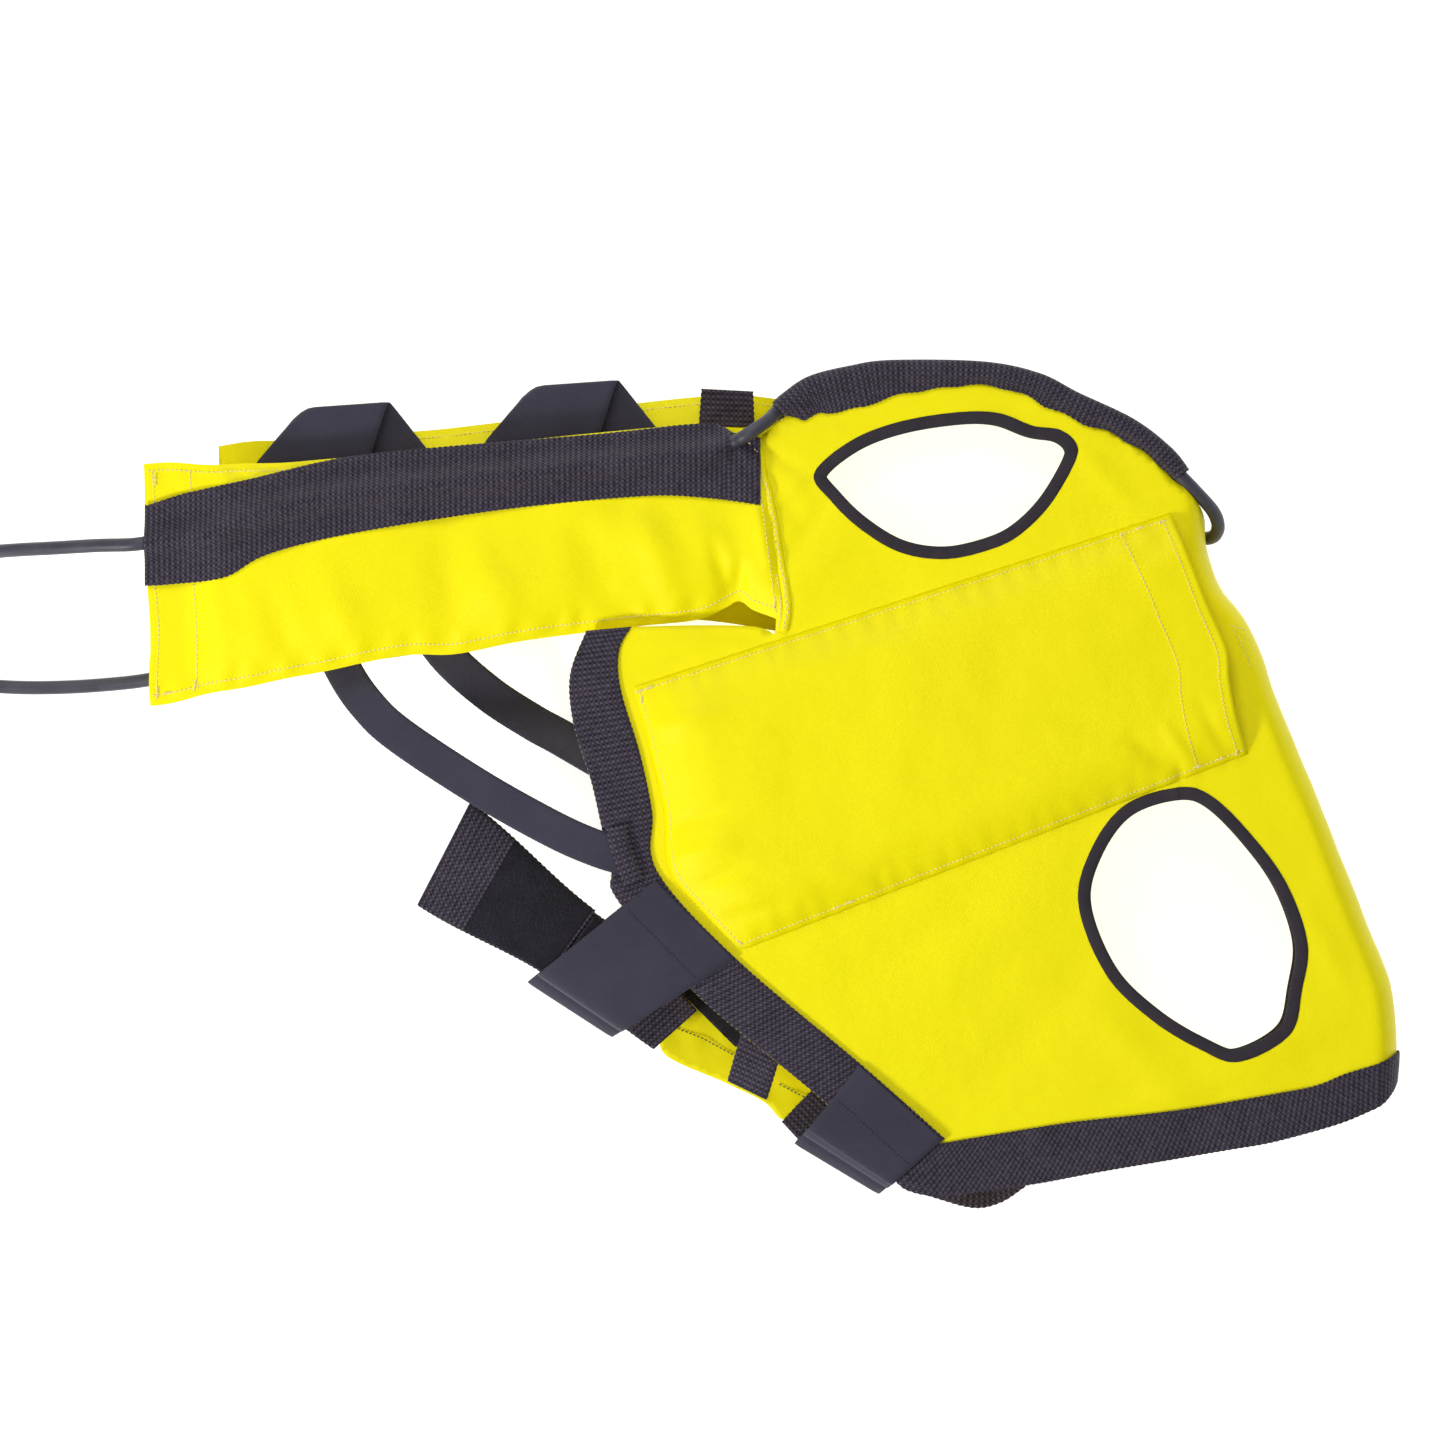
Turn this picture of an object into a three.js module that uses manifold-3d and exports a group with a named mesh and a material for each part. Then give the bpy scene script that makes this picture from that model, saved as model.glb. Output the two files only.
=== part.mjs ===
// A yellow two-sided life jacket lying on its far side: two holed side panels joined by a
// rounded fold, a foam pocket on each, a padded stem on each, webbing round the edges and
// one rubber cable threaded through the stem channels and the crown webbing.
// Millimetres, +Z up, origin under the middle of the jacket.

import * as THREE from "three";
import { mergeVertices } from "three/addons/utils/BufferGeometryUtils.js";
import Module from "manifold-3d";

const wasm = await Module();
wasm.setup();

// ---- driving dimensions ----------------------------------------------------------------

const TOTAL_HEIGHT = 98;          // lying height, the far side mirrors the near side in it
const PANEL_DROP = 18;            // from that height down to the near panel's underside
const FABRIC = 1.6;               // coated fabric, doubled at the panels
const WEBBING = 1.8;              // webbing thickness
const LAYER_GAP = 0.4;            // air between stacked layers
const BINDING_WIDTH = 11;         // tape round the holes
const BINDING_GRIP = 6;           // how far the tape grips the fabric
const POCKET_FOAM = 12;
const POCKET_CLEARANCE = 2.4;     // room over the foam inside its pocket
const POCKET_SHOULDER = 28;       // width of the pocket's sloping edge
const STEM_DROP = 10.8;           // from the panel's middle down to the stem's middle plane
const STEM_THICKNESS = 28;
const STEM_EDGE = 4;              // thickness of its sewn edges
const STEM_SHOULDER = 40;         // width over which the stem swells
const STEM_LENGTH = 465;          // near stem, from its open end to the seam
const STEM_STAGGER = 54;          // how much shorter the far stem is
const STEM_WALL = 1.5;
const CABLE_DIAMETER = 10;
const CHANNEL_WEBBING = 1.2;
const FOLD_BULGE = 16;            // how far the fold stands out of the panels' edge
const LOOP_BAND = 1.5;            // elastic thickness
const JAW_LOOP_WIDTH = 82;
const STEM_LOOP_WIDTH = 84;
const STEM_LOOP_SLIDE = 90;       // from its near end to its far end, along the stems
const THROAT_STRAP_WIDTH = 27;
const STRAP_LENGTH = 122;         // free tail of the closure strap
const COIL_MEAN = 55;             // radius of a put-away coil's middle turn
const COIL_WIDTH = 26;
const COIL_HEIGHT = 22;
const COIL_EDGE_X = -584;         // where the coils begin, clear of the jacket

const PANEL_Z = TOTAL_HEIGHT - PANEL_DROP;
const MIDDLE_Z = TOTAL_HEIGHT / 2;
const STEM_MIDDLE_Z = PANEL_Z + FABRIC / 2 - STEM_DROP;
const POCKET_RISE = POCKET_FOAM + POCKET_CLEARANCE;
const TUNNEL_HALF_WIDTH = CABLE_DIAMETER * 1.3;
const CHANNEL_RISE = CABLE_DIAMETER * 1.25;       // tunnel height over the cable
const CHANNEL_GAP = STEM_THICKNESS / 20;          // room for the pad's swell under the webbing
const CABLE_GAP = STEM_THICKNESS / 31;

const YELLOW = { color: 0xf4ec08, roughness: 0.5, metalness: 0 };
const FOAM = { color: 0xe9e6da, roughness: 0.9, metalness: 0 };
const WEB = { color: 0x37323c, roughness: 0.85, metalness: 0 };
const TAPE = { color: 0x2f2b33, roughness: 0.8, metalness: 0 };
const ELASTIC = { color: 0x403d4a, roughness: 0.75, metalness: 0 };
const PILE = { color: 0x24212e, roughness: 0.95, metalness: 0 };
const RUBBER = { color: 0x3a393c, roughness: 0.55, metalness: 0 };
const PLASTIC = { color: 0x1d1d20, roughness: 0.45, metalness: 0 };

// ---- small tools -----------------------------------------------------------------------

const object = new THREE.Group();
object.name = "life_jacket";

const lerp = THREE.MathUtils.lerp;
const smooth = (x, a, b) => THREE.MathUtils.smoothstep(x, a, b);
const v3 = (p) => new THREE.Vector3(p[0], p[1], p[2] ?? 0);

// a smooth line through some points, as [x, y] or [x, y, z] samples
function line(points, count, closed = false) {
  const curve = new THREE.CatmullRomCurve3(points.map(v3), closed, "centripetal");
  const got = curve.getSpacedPoints(count);
  return (closed ? got.slice(0, -1) : got).map((p) => [p.x, p.y, p.z]);
}

// y as a function of x along points that run in x
function alongX(points) {
  return (x) => {
    const k = points.findIndex((p) => p[0] > x);
    const i = k < 0 ? points.length - 2 : Math.max(0, k - 1);
    const [a, b] = [points[i], points[i + 1]];
    return lerp(a[1], b[1], (x - a[0]) / (b[0] - a[0]));
  };
}

// moves a closed outline inwards by a distance, in small steps that keep its corners clean
function inset(outline, distance) {
  const area = THREE.ShapeUtils.area(outline.map((p) => new THREE.Vector2(p[0], p[1])));
  const turn = Math.sign(area);
  const steps = Math.ceil(Math.abs(distance));
  const step = (turn * distance) / steps;
  let ring = outline;
  for (let n = 0; n < steps; n += 1) {
    ring = ring.map((p, i) => {
      const a = ring[(i + ring.length - 1) % ring.length];
      const b = ring[(i + 1) % ring.length];
      const [dx, dy] = [b[0] - a[0], b[1] - a[1]];
      const long = Math.hypot(dx, dy);
      const slip = ((a[0] + b[0] - 2 * p[0]) * dx + (a[1] + b[1] - 2 * p[1]) * dy) / long;
      return [
        p[0] - (step * dy) / long + (0.2 * slip * dx) / long,
        p[1] + (step * dx) / long + (0.2 * slip * dy) / long,
      ];
    });
  }
  return ring;
}

function cleaned(geometry) {
  const g = geometry.clone();
  g.deleteAttribute("normal");
  g.deleteAttribute("uv");
  const merged = mergeVertices(g, 1e-4);
  const p = merged.attributes.position;
  const index = merged.index.array;
  const [a, b, c] = [new THREE.Vector3(), new THREE.Vector3(), new THREE.Vector3()];
  let volume = 0;
  for (let i = 0; i < index.length; i += 3) {
    a.fromBufferAttribute(p, index[i]);
    b.fromBufferAttribute(p, index[i + 1]);
    c.fromBufferAttribute(p, index[i + 2]);
    volume += a.dot(b.cross(c));
  }
  if (volume < 0) {
    for (let i = 0; i < index.length; i += 3) {
      [index[i], index[i + 1]] = [index[i + 1], index[i]];
    }
  }
  merged.computeVertexNormals();
  return merged;
}

function solid(geometry) {
  const g = cleaned(geometry);
  const vertProperties = new Float32Array(g.attributes.position.array);
  const triVerts = new Uint32Array(g.index.array);
  return new wasm.Manifold(new wasm.Mesh({ numProp: 3, vertProperties, triVerts }));
}

function geometryOf(manifold) {
  const mesh = manifold.getMesh();
  const g = new THREE.BufferGeometry();
  g.setAttribute("position", new THREE.BufferAttribute(new Float32Array(mesh.vertProperties), 3));
  g.setIndex(new THREE.BufferAttribute(new Uint32Array(mesh.triVerts), 1));
  g.computeVertexNormals();
  return g;
}

const cut = (from, what) => geometryOf(solid(from).subtract(solid(what)));

function add(name, geometry, material) {
  const mesh = new THREE.Mesh(cleaned(geometry), new THREE.MeshStandardMaterial(material));
  mesh.name = name;
  object.add(mesh);
  return mesh;
}

// the same geometry on the far side
function mirrored(geometry) {
  const g = geometry.clone();
  const p = g.attributes.position;
  for (let i = 0; i < p.count; i += 1) p.setZ(i, TOTAL_HEIGHT - p.getZ(i));
  return g;
}

// a flat piece between two heights
function plate(outline, holes, low, high) {
  const turned = (points, wanted) => {
    const flat = points.map((p) => new THREE.Vector2(p[0], p[1]));
    return THREE.ShapeUtils.isClockWise(flat) === wanted ? flat : flat.reverse();
  };
  const shape = new THREE.Shape(turned(outline, false));
  for (const hole of holes) shape.holes.push(new THREE.Path(turned(hole, true)));
  const g = new THREE.ExtrudeGeometry(shape, { depth: high - low, bevelEnabled: false });
  return g.translate(0, 0, low);
}

// a grid of points bent to any form; place(u, v, w) gives a point for each 0..1 triple
function lattice(across, along, place, deep = 1) {
  const g = new THREE.BoxGeometry(1, 1, 1, across, along, deep);
  const p = g.attributes.position;
  for (let i = 0; i < p.count; i += 1) {
    const q = place(p.getX(i) + 0.5, p.getY(i) + 0.5, p.getZ(i) + 0.5);
    p.setXYZ(i, q[0], q[1], q[2]);
  }
  return g;
}

// a band of constant width: profile gives [reach, z] along the band, ends included, and
// slide is how far its second end lies to the side of its first
function band(profile, steps, start, heading, across, width, thickness, slide = 0) {
  const way = line(profile.map((p) => [p[0], p[1], 0]), steps);
  return lattice(steps, 2, (u, v, w) => {
    const i = Math.round(u * steps);
    const a = way[Math.max(0, i - 1)];
    const b = way[Math.min(steps, i + 1)];
    const long = Math.hypot(b[0] - a[0], b[1] - a[1]);
    const lift = (w - 0.5) * thickness;
    const reach = way[i][0] - (lift * (b[1] - a[1])) / long;
    const z = way[i][1] + (lift * (b[0] - a[0])) / long;
    const side = (v - 0.5) * width + u * slide;
    return [
      start[0] + heading[0] * reach + across[0] * side,
      start[1] + heading[1] * reach + across[1] * side,
      z,
    ];
  });
}

// a flat strap that follows a line in space, its width kept level
function strap(points, steps, widthAt, thickness) {
  const way = line(points, steps);
  return lattice(steps, 2, (u, v, w) => {
    const i = Math.round(u * steps);
    const a = way[Math.max(0, i - 1)];
    const b = way[Math.min(steps, i + 1)];
    const long = Math.hypot(b[0] - a[0], b[1] - a[1]);
    const side = (v - 0.5) * widthAt(u);
    return [
      way[i][0] - ((b[1] - a[1]) / long) * side,
      way[i][1] + ((b[0] - a[0]) / long) * side,
      way[i][2] + (w - 0.5) * thickness,
    ];
  });
}

function tube(points, diameter, steps, sides = 10) {
  const curve = new THREE.CatmullRomCurve3(points.map(v3), false, "centripetal");
  const circle = Array.from({ length: sides }, (_, k) => {
    const a = (2 * Math.PI * k) / sides;
    return new THREE.Vector2((Math.cos(a) * diameter) / 2, (Math.sin(a) * diameter) / 2);
  });
  const shape = new THREE.Shape(circle);
  return new THREE.ExtrudeGeometry(shape, { steps, extrudePath: curve, bevelEnabled: false });
}

// ---- side panels, holes and their binding ----------------------------------------------

const crownCable = [
  [13, 282], [30, 292], [58, 299], [87, 303], [152, 302], [192, 294], [220, 280],
  [260, 261], [286, 241], [298, 226],
];
const crownEdge = [
  [14, 272], [33, 283], [60, 291], [88, 295], [151, 294], [189, 286], [216, 272],
  [256, 253], [281, 235], [292, 222],
];
const foldEdge = [
  [302, 165], [313, 138], [334, 111], [352, 64], [367, 25], [391, -30], [413, -89],
  [431, -133], [438, -155], [441, -184], [440, -236],
];
const hemEdge = [
  [411, -247], [367, -259], [334, -265], [275, -275], [229, -283], [185, -291],
  [125, -299], [104, -296],
];
const jawOuter = [
  [40, -233], [-54, -154], [-115, -77], [-126, -25], [-133, 5], [-145, 43], [-148, 80], [-136, 110],
];
const jawInner = [
  [-105, 111], [-112, 99], [-111, 71], [-97, 24], [-88, -19], [-85, -64], [-26, -127],
  [65, -204], [124, -258],
];
const seamSide = [[-101, 113], [-53, 124], [12, 108], [4.5, 262]];
const upperHole = [
  [30, 228], [57, 252], [93, 266], [137, 273], [166, 272], [190, 263], [210, 260],
  [222, 250], [221, 236], [203, 205], [181, 183], [159, 172], [126, 165], [93, 170],
  [64, 187], [42, 208],
];
const lowerHole = [
  [297, -1], [323, -9], [356, -43], [378, -76], [391, -116], [387, -149], [378, -182],
  [341, -202], [312, -193], [276, -171], [243, -138], [223, -87], [232, -47], [257, -14],
];
const HOLE_STEPS = 34;
const holes = {
  upper: line(upperHole, HOLE_STEPS, true),
  lower: line(lowerHole, HOLE_STEPS, true),
};

const panelOutline = [
  ...line(crownEdge, 18),
  ...line([...foldEdge.map((p) => [p[0] - 1.2, p[1]])], 26),
  ...line(hemEdge, 12),
  ...line(jawOuter, 18),
  ...seamSide,
];
const panelHoles = Object.values(holes).map((outline) => inset(outline, BINDING_GRIP));
const panel = plate(panelOutline, panelHoles, PANEL_Z, PANEL_Z + FABRIC);
add("near_side_panel", panel, YELLOW);
add("far_side_panel", mirrored(panel), YELLOW);

const tapeLow = PANEL_Z - LAYER_GAP - 1;
const tapeHigh = PANEL_Z + FABRIC + LAYER_GAP + 1;
for (const [name, outline] of Object.entries(holes)) {
  const ring = plate(outline, [inset(outline, BINDING_WIDTH)], tapeLow, tapeHigh);
  const slit = plate(
    inset(outline, -3), [inset(outline, BINDING_GRIP + LAYER_GAP)], tapeLow + 1, tapeHigh - 1,
  );
  const binding = cut(ring, slit);
  add(`near_${name}_hole_binding`, binding, TAPE);
  add(`far_${name}_hole_binding`, mirrored(binding), TAPE);
}

// ---- the rounded fold that joins the two sides -----------------------------------------

const foldSteps = 24;
const foldLine = line(foldEdge, foldSteps);

function foldBand(from, to, grow, thickness, name, material) {
  const rise = PANEL_Z + FABRIC - MIDDLE_Z + grow;
  const g = lattice(to - from, 8, (u, v, w) => {
    const i = from + Math.round(u * (to - from));
    const a = foldLine[Math.max(0, i - 1)];
    const b = foldLine[Math.min(foldSteps, i + 1)];
    const long = Math.hypot(b[0] - a[0], b[1] - a[1]);
    const angle = Math.PI * v;
    const inwards = (w - 1) * thickness;
    const out = (FOLD_BULGE + grow + inwards) * Math.sin(angle);
    return [
      foldLine[i][0] - ((b[1] - a[1]) / long) * out,
      foldLine[i][1] + ((b[0] - a[0]) / long) * out,
      MIDDLE_Z + (rise + inwards) * Math.cos(angle),
    ];
  });
  return add(name, g, material);
}

foldBand(0, foldSteps, 0, FABRIC, "side_fold_panel", YELLOW);
foldBand(foldSteps - 2, foldSteps, LAYER_GAP + WEBBING, WEBBING, "fold_hem_webbing", WEB);

// ---- edge webbing ----------------------------------------------------------------------

const webLow = PANEL_Z + FABRIC + LAYER_GAP;
const webHigh = webLow + WEBBING;
const jawOutline = [
  ...line([[90, -286], ...jawOuter], 24),
  ...line(jawInner, 24),
];
const jaw = plate(jawOutline, [], webLow, webHigh);
add("near_jaw_webbing", jaw, WEB);
add("far_jaw_webbing", mirrored(jaw), WEB);

const hemTop = [
  [127, -259.5], [166, -254], [224, -245], [279, -239], [321, -233], [367, -225], [397, -219],
  [417, -211], [439.5, -204],
];
const hemBottom = [[438, -238], ...hemEdge.slice(0, -1), [103, -298], [92, -288.5]];
add(
  "near_hem_webbing",
  plate([...line(hemTop, 14), ...line(hemBottom, 16)], [], webLow, webHigh),
  WEB,
);
const farHemBottom = [
  [438, -238], ...hemEdge.slice(0, 5), [185, -297], [169, -309], [149, -313], [121, -304],
  [92, -288.5],
];
add(
  "far_hem_webbing",
  mirrored(plate([...line(hemTop, 14), ...line(farHemBottom, 18)], [], webLow, webHigh)),
  WEB,
);

// crown webbing: folded lengthwise round the cable, its two legs gripping the panel
const crownMiddleZ = PANEL_Z + FABRIC / 2;
const CROWN_STEPS = 16;
const crownLine = line(crownCable, CROWN_STEPS);
const hairpin = (() => {
  const r = CABLE_DIAMETER / 2 + 1.9 + 0.75;
  const grip = FABRIC / 2 + LAYER_GAP + 0.75;
  const round = Array.from({ length: 9 }, (_, k) => {
    const a = THREE.MathUtils.degToRad(-115 + (230 * k) / 8);
    return [Math.cos(a) * r, Math.sin(a) * r];
  });
  return [[-19, -grip], [-9, -grip], ...round, [-9, grip], [-19, grip]];
})();
const crown = lattice(CROWN_STEPS, hairpin.length - 1, (u, v, w) => {
  const i = Math.round(u * CROWN_STEPS);
  const k = Math.round(v * (hairpin.length - 1));
  const a = crownLine[Math.max(0, i - 1)];
  const b = crownLine[Math.min(CROWN_STEPS, i + 1)];
  const long = Math.hypot(b[0] - a[0], b[1] - a[1]);
  const before = hairpin[Math.max(0, k - 1)];
  const after = hairpin[Math.min(hairpin.length - 1, k + 1)];
  const size = Math.hypot(after[0] - before[0], after[1] - before[1]);
  const lift = (w - 0.5) * 1.5;
  const out = hairpin[k][0] + (lift * (after[1] - before[1])) / size;
  const up = hairpin[k][1] - (lift * (after[0] - before[0])) / size;
  return [
    crownLine[i][0] - ((b[1] - a[1]) / long) * out,
    crownLine[i][1] + ((b[0] - a[0]) / long) * out,
    crownMiddleZ + up,
  ];
});
add("near_crown_webbing", crown, WEB);
add("far_crown_webbing", mirrored(crown), WEB);

// ---- foam pockets ----------------------------------------------------------------------

const pocketLeft = line([[-24, -120], [-78, -62], [-82, -19], [-91, 24], [-104, 70]], 16);
const pocketRight = line([[346, 22], [333, 77], [326, 115], [311, 150], [288, 199]], 16);
const pocketHeading = new THREE.Vector2(391, 129).normalize();

function pocketPoint(u, v) {
  const [a, b] = [v * 16, Math.min(15, Math.floor(v * 16))];
  const left = [0, 1].map((k) => lerp(pocketLeft[b][k], pocketLeft[b + 1][k], a - b));
  const right = [0, 1].map((k) => lerp(pocketRight[b][k], pocketRight[b + 1][k], a - b));
  return [lerp(left[0], right[0], u), lerp(left[1], right[1], u)];
}

const shoulder = (d, wide) => (d >= wide ? 1 : 1 - (1 - Math.max(0, d) / wide) ** 2);
const spaced = (t, edge) => t + edge * Math.sin(2 * Math.PI * t) * -0.16;

const cover = lattice(14, 10, (uRaw, vRaw, w) => {
  const [u, v] = [uRaw, spaced(vRaw, 0.6)];
  const [x, y] = pocketPoint(u, v);
  const [long, wide] = [400, 200];
  const rise = shoulder(u * long, POCKET_SHOULDER)
    * shoulder(v * wide, POCKET_SHOULDER) * shoulder((1 - v) * wide, POCKET_SHOULDER);
  return [x, y, webLow + POCKET_RISE * rise + w * 1.4];
});
add("near_pocket_cover", cover, YELLOW);
add("far_pocket_cover", mirrored(cover), YELLOW);

const foamBlock = lattice(8, 4, (u, v, w) => {
  const [x, y] = pocketPoint(lerp(0.1, 0.965, u), lerp(0.19, 0.81, v));
  return [x, y, webLow + 0.3 + w * POCKET_FOAM];
});
add("near_pocket_foam", foamBlock, FOAM);
add("far_pocket_foam", mirrored(foamBlock), FOAM);

// ---- padded stems ----------------------------------------------------------------------

// a stem's two long edges as y over x, and the x of its ends at the bottom and the top
const stems = {
  near: {
    top: alongX(line([[-462, 236], [-345, 237], [-235, 247], [-126, 258], [-3, 260]], 20)),
    bottom: alongX(line([[-462, 56], [-330, 84], [-170, 111], [-53, 128], [13, 112]], 20)),
    left: [11 - STEM_LENGTH, 5 - STEM_LENGTH],
    right: [10.5, -2],
  },
  far: {
    top: alongX(line([[-410, 250], [-252, 261], [-89, 280], [-2, 283]], 16)),
    bottom: alongX(line([[-410, 72], [-252, 98], [-89, 122], [13, 112]], 16)),
    left: [11 + STEM_STAGGER - STEM_LENGTH, 5 + STEM_STAGGER - STEM_LENGTH],
    right: [10.5, -6],
  },
};

function stemAt(stem, u, v) {
  const x = lerp(lerp(stem.left[0], stem.left[1], v), lerp(stem.right[0], stem.right[1], v), u);
  return [x, lerp(stem.bottom(x), stem.top(x), v)];
}

// middle height and half thickness of a stem at a place on it
function stemBody(stem, x, y) {
  const wide = stem.top(x) - stem.bottom(x);
  const v = (y - stem.bottom(x)) / wide;
  const start = lerp(stem.left[0], stem.left[1], v);
  const end = lerp(stem.right[0], stem.right[1], v);
  const swell = shoulder(Math.min(v, 1 - v) * wide, STEM_SHOULDER)
    * shoulder(x - start - 8, 60) * shoulder(end - x, 40);
  const middle = lerp(STEM_MIDDLE_Z, PANEL_Z + FABRIC / 2, smooth(x, end - 34, end));
  return [middle, STEM_EDGE / 2 + (STEM_THICKNESS - STEM_EDGE) / 2 * swell];
}

function stemSolid(stem, uRange, vRange, shrink, columns = 16) {
  return lattice(columns, 8, (uRaw, vRaw, w) => {
    const u = lerp(uRange[0], uRange[1], uRaw);
    const v = lerp(vRange[0], vRange[1], vRaw);
    const [x, y] = stemAt(stem, u, v);
    const [middle, half] = stemBody(stem, x, y);
    return [x, y, middle + (half - shrink) * (2 * w - 1)];
  });
}

// webbing sewn along a stem, humped over the cable that runs under it
function channel(stem, from, to, top, bottom, cable) {
  const rows = [-13, -9, -5, -2, 2, 5, 9, 13].map((k) => (k * TUNNEL_HALF_WIDTH) / 13);
  const steps = 24;
  const hump = (d) => CHANNEL_RISE * Math.max(0, Math.cos((Math.PI * d) / 2 / TUNNEL_HALF_WIDTH)) ** 2
    * (Math.abs(d) < TUNNEL_HALF_WIDTH);
  return lattice(steps, rows.length + 1, (u, v, w) => {
    const x = lerp(from, to, u);
    const k = Math.round(v * (rows.length + 1));
    const middle = cable(x);
    const y = k === 0 ? bottom(x) : k > rows.length ? top(x) : middle + rows[k - 1];
    const [at, half] = stemBody(stem, x, y);
    const z = at + half + CHANNEL_GAP + hump(y - middle) + w * CHANNEL_WEBBING;
    return [x, y, z];
  });
}

const cableHeight = (stem, x, y) => {
  const [at, half] = stemBody(stem, x, y);
  return at + half + CABLE_DIAMETER / 2 + CABLE_GAP;
};

const channels = {
  near: {
    from: stems.near.left[0],
    to: -14,
    top: alongX(line([[-456, 203], [-418, 216], [-381, 224], [-312, 240], [-126, 256],
      [-38, 262], [-8, 259]], 20)),
    bottom: alongX(line([[-456, 146], [-400, 154], [-370, 170], [-312, 183], [-199, 201],
      [-97, 212], [-8, 206]], 20)),
    cable: alongX(line([[-460, 177], [-409, 184], [-376, 197], [-312, 211], [-162, 229],
      [-97, 237], [-38, 242], [-8, 243]], 20)),
  },
  far: {
    from: stems.far.left[0],
    to: -14,
    top: alongX(line([[-402, 124], [-350, 146], [-250, 208], [-150, 252], [-60, 274],
      [-8, 276]], 20)),
    bottom: alongX(line([[-402, 72.5], [-350, 100], [-250, 158], [-150, 202], [-60, 224],
      [-8, 226]], 20)),
    cable: alongX(line([[-402, 98], [-350, 122], [-250, 183], [-150, 228], [-60, 250],
      [-8, 255]], 20)),
  },
};

const routes = {};
for (const side of ["near", "far"]) {
  const stem = stems[side];
  const place = side === "near" ? (g) => g : mirrored;
  const outer = stemSolid(stem, [0, 1], [0, 1], 0);
  const inner = stemSolid(stem, [-0.01, 0.955], [0.03, 0.97], STEM_WALL);
  add(`${side}_stem_cover`, place(cut(outer, inner)), YELLOW);
  add(`${side}_stem_foam`, place(stemSolid(stem, [0.1, 0.9], [0.1, 0.9], 3.2)), FOAM);
  const c = channels[side];
  const webbing = channel(stem, c.from, c.to, c.top, c.bottom, c.cable);
  add(`${side}_stem_channel_webbing`, place(webbing), WEB);
  routes[side] = Array.from({ length: 16 }, (_, k) => {
    const x = lerp(c.from - 1, c.to + 2, k / 15);
    return [x, c.cable(x), cableHeight(stem, Math.max(x, c.from), c.cable(x))];
  });
}

// ---- the cable that the jacket holds ---------------------------------------------------

const flip = (points) => points.map((p) => [p[0], p[1], TOTAL_HEIGHT - p[2]]);
const crownRun = crownLine.filter((_, i) => i % 2 === 0).map((p) => [p[0], p[1], crownMiddleZ]);
const bend = [
  [311, 213, 25], [323, 200, 13], [327, 189, 0], [323, 182, -13], [313, 184, -25],
  [304, 202, -31],
].map((p) => [p[0], p[1], MIDDLE_Z + p[2]]);
const neckTurn = (points) => points.map((p) => [p[0], p[1], PANEL_Z + p[2]]);
const heldRoute = [
  ...routes.near, ...neckTurn([[-4, 253, 11], [5, 271, 5]]), ...crownRun, ...bend,
  ...flip(crownRun).reverse(),
  ...flip([...routes.far, ...neckTurn([[-3, 264, 11], [4, 274, 6]])]).reverse(),
];
add("held_cable", tube(heldRoute, CABLE_DIAMETER, 140, 8), RUBBER);

// ---- elastic loops and straps ----------------------------------------------------------

const unit = (x, y) => [x / Math.hypot(x, y), y / Math.hypot(x, y)];
const stemFaceZ = STEM_MIDDLE_Z - STEM_THICKNESS / 2;
const stemLoopRise = stemFaceZ - 1.8 - MIDDLE_Z;
const stemLoopProfile = [
  [-22, 1], [0, 1], [18, 0.96], [32, 0.65], [38, 0], [32, -0.65], [18, -0.96], [0, -1],
  [-22, -1],
].map((p) => [p[0], MIDDLE_Z + p[1] * stemLoopRise]);
const stemLoopWay = unit(-0.08, 1);
const stemLoops = { front: [-348, 238], rear: [-180, 254] };
for (const [name, start] of Object.entries(stemLoops)) {
  const g = band(
    stemLoopProfile, 20, start, stemLoopWay, [1, 0.07], STEM_LOOP_WIDTH, LOOP_BAND,
    STEM_LOOP_SLIDE,
  );
  add(`${name}_stem_elastic_loop`, g, ELASTIC);
}

const jawLoopZ = webHigh + LAYER_GAP + LOOP_BAND / 2;
function jawLoopProfile(reach) {
  const top = jawLoopZ;
  const low = TOTAL_HEIGHT - jawLoopZ;
  return [
    [2, top], [24, top], [44, top], [lerp(44, reach, 0.45), top - 4],
    [lerp(44, reach, 0.82), top - 14], [reach, MIDDLE_Z], [lerp(44, reach, 0.82), low + 14],
    [lerp(44, reach, 0.45), low + 4], [44, low], [24, low], [2, low],
  ];
}
const jawWays = {
  upper: { start: [-55, -97], heading: unit(-0.72, -0.69), reach: 114 },
  lower: { start: [95, -230], heading: unit(-0.68, -0.73), reach: 70 },
};
for (const [name, way] of Object.entries(jawWays)) {
  const across = name === "upper" ? unit(0.7, -0.71) : unit(0.74, -0.67);
  const g = band(
    jawLoopProfile(way.reach), 26, way.start, way.heading, across, JAW_LOOP_WIDTH, LOOP_BAND,
  );
  add(`${name}_jaw_elastic_loop`, g, ELASTIC);
}

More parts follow.
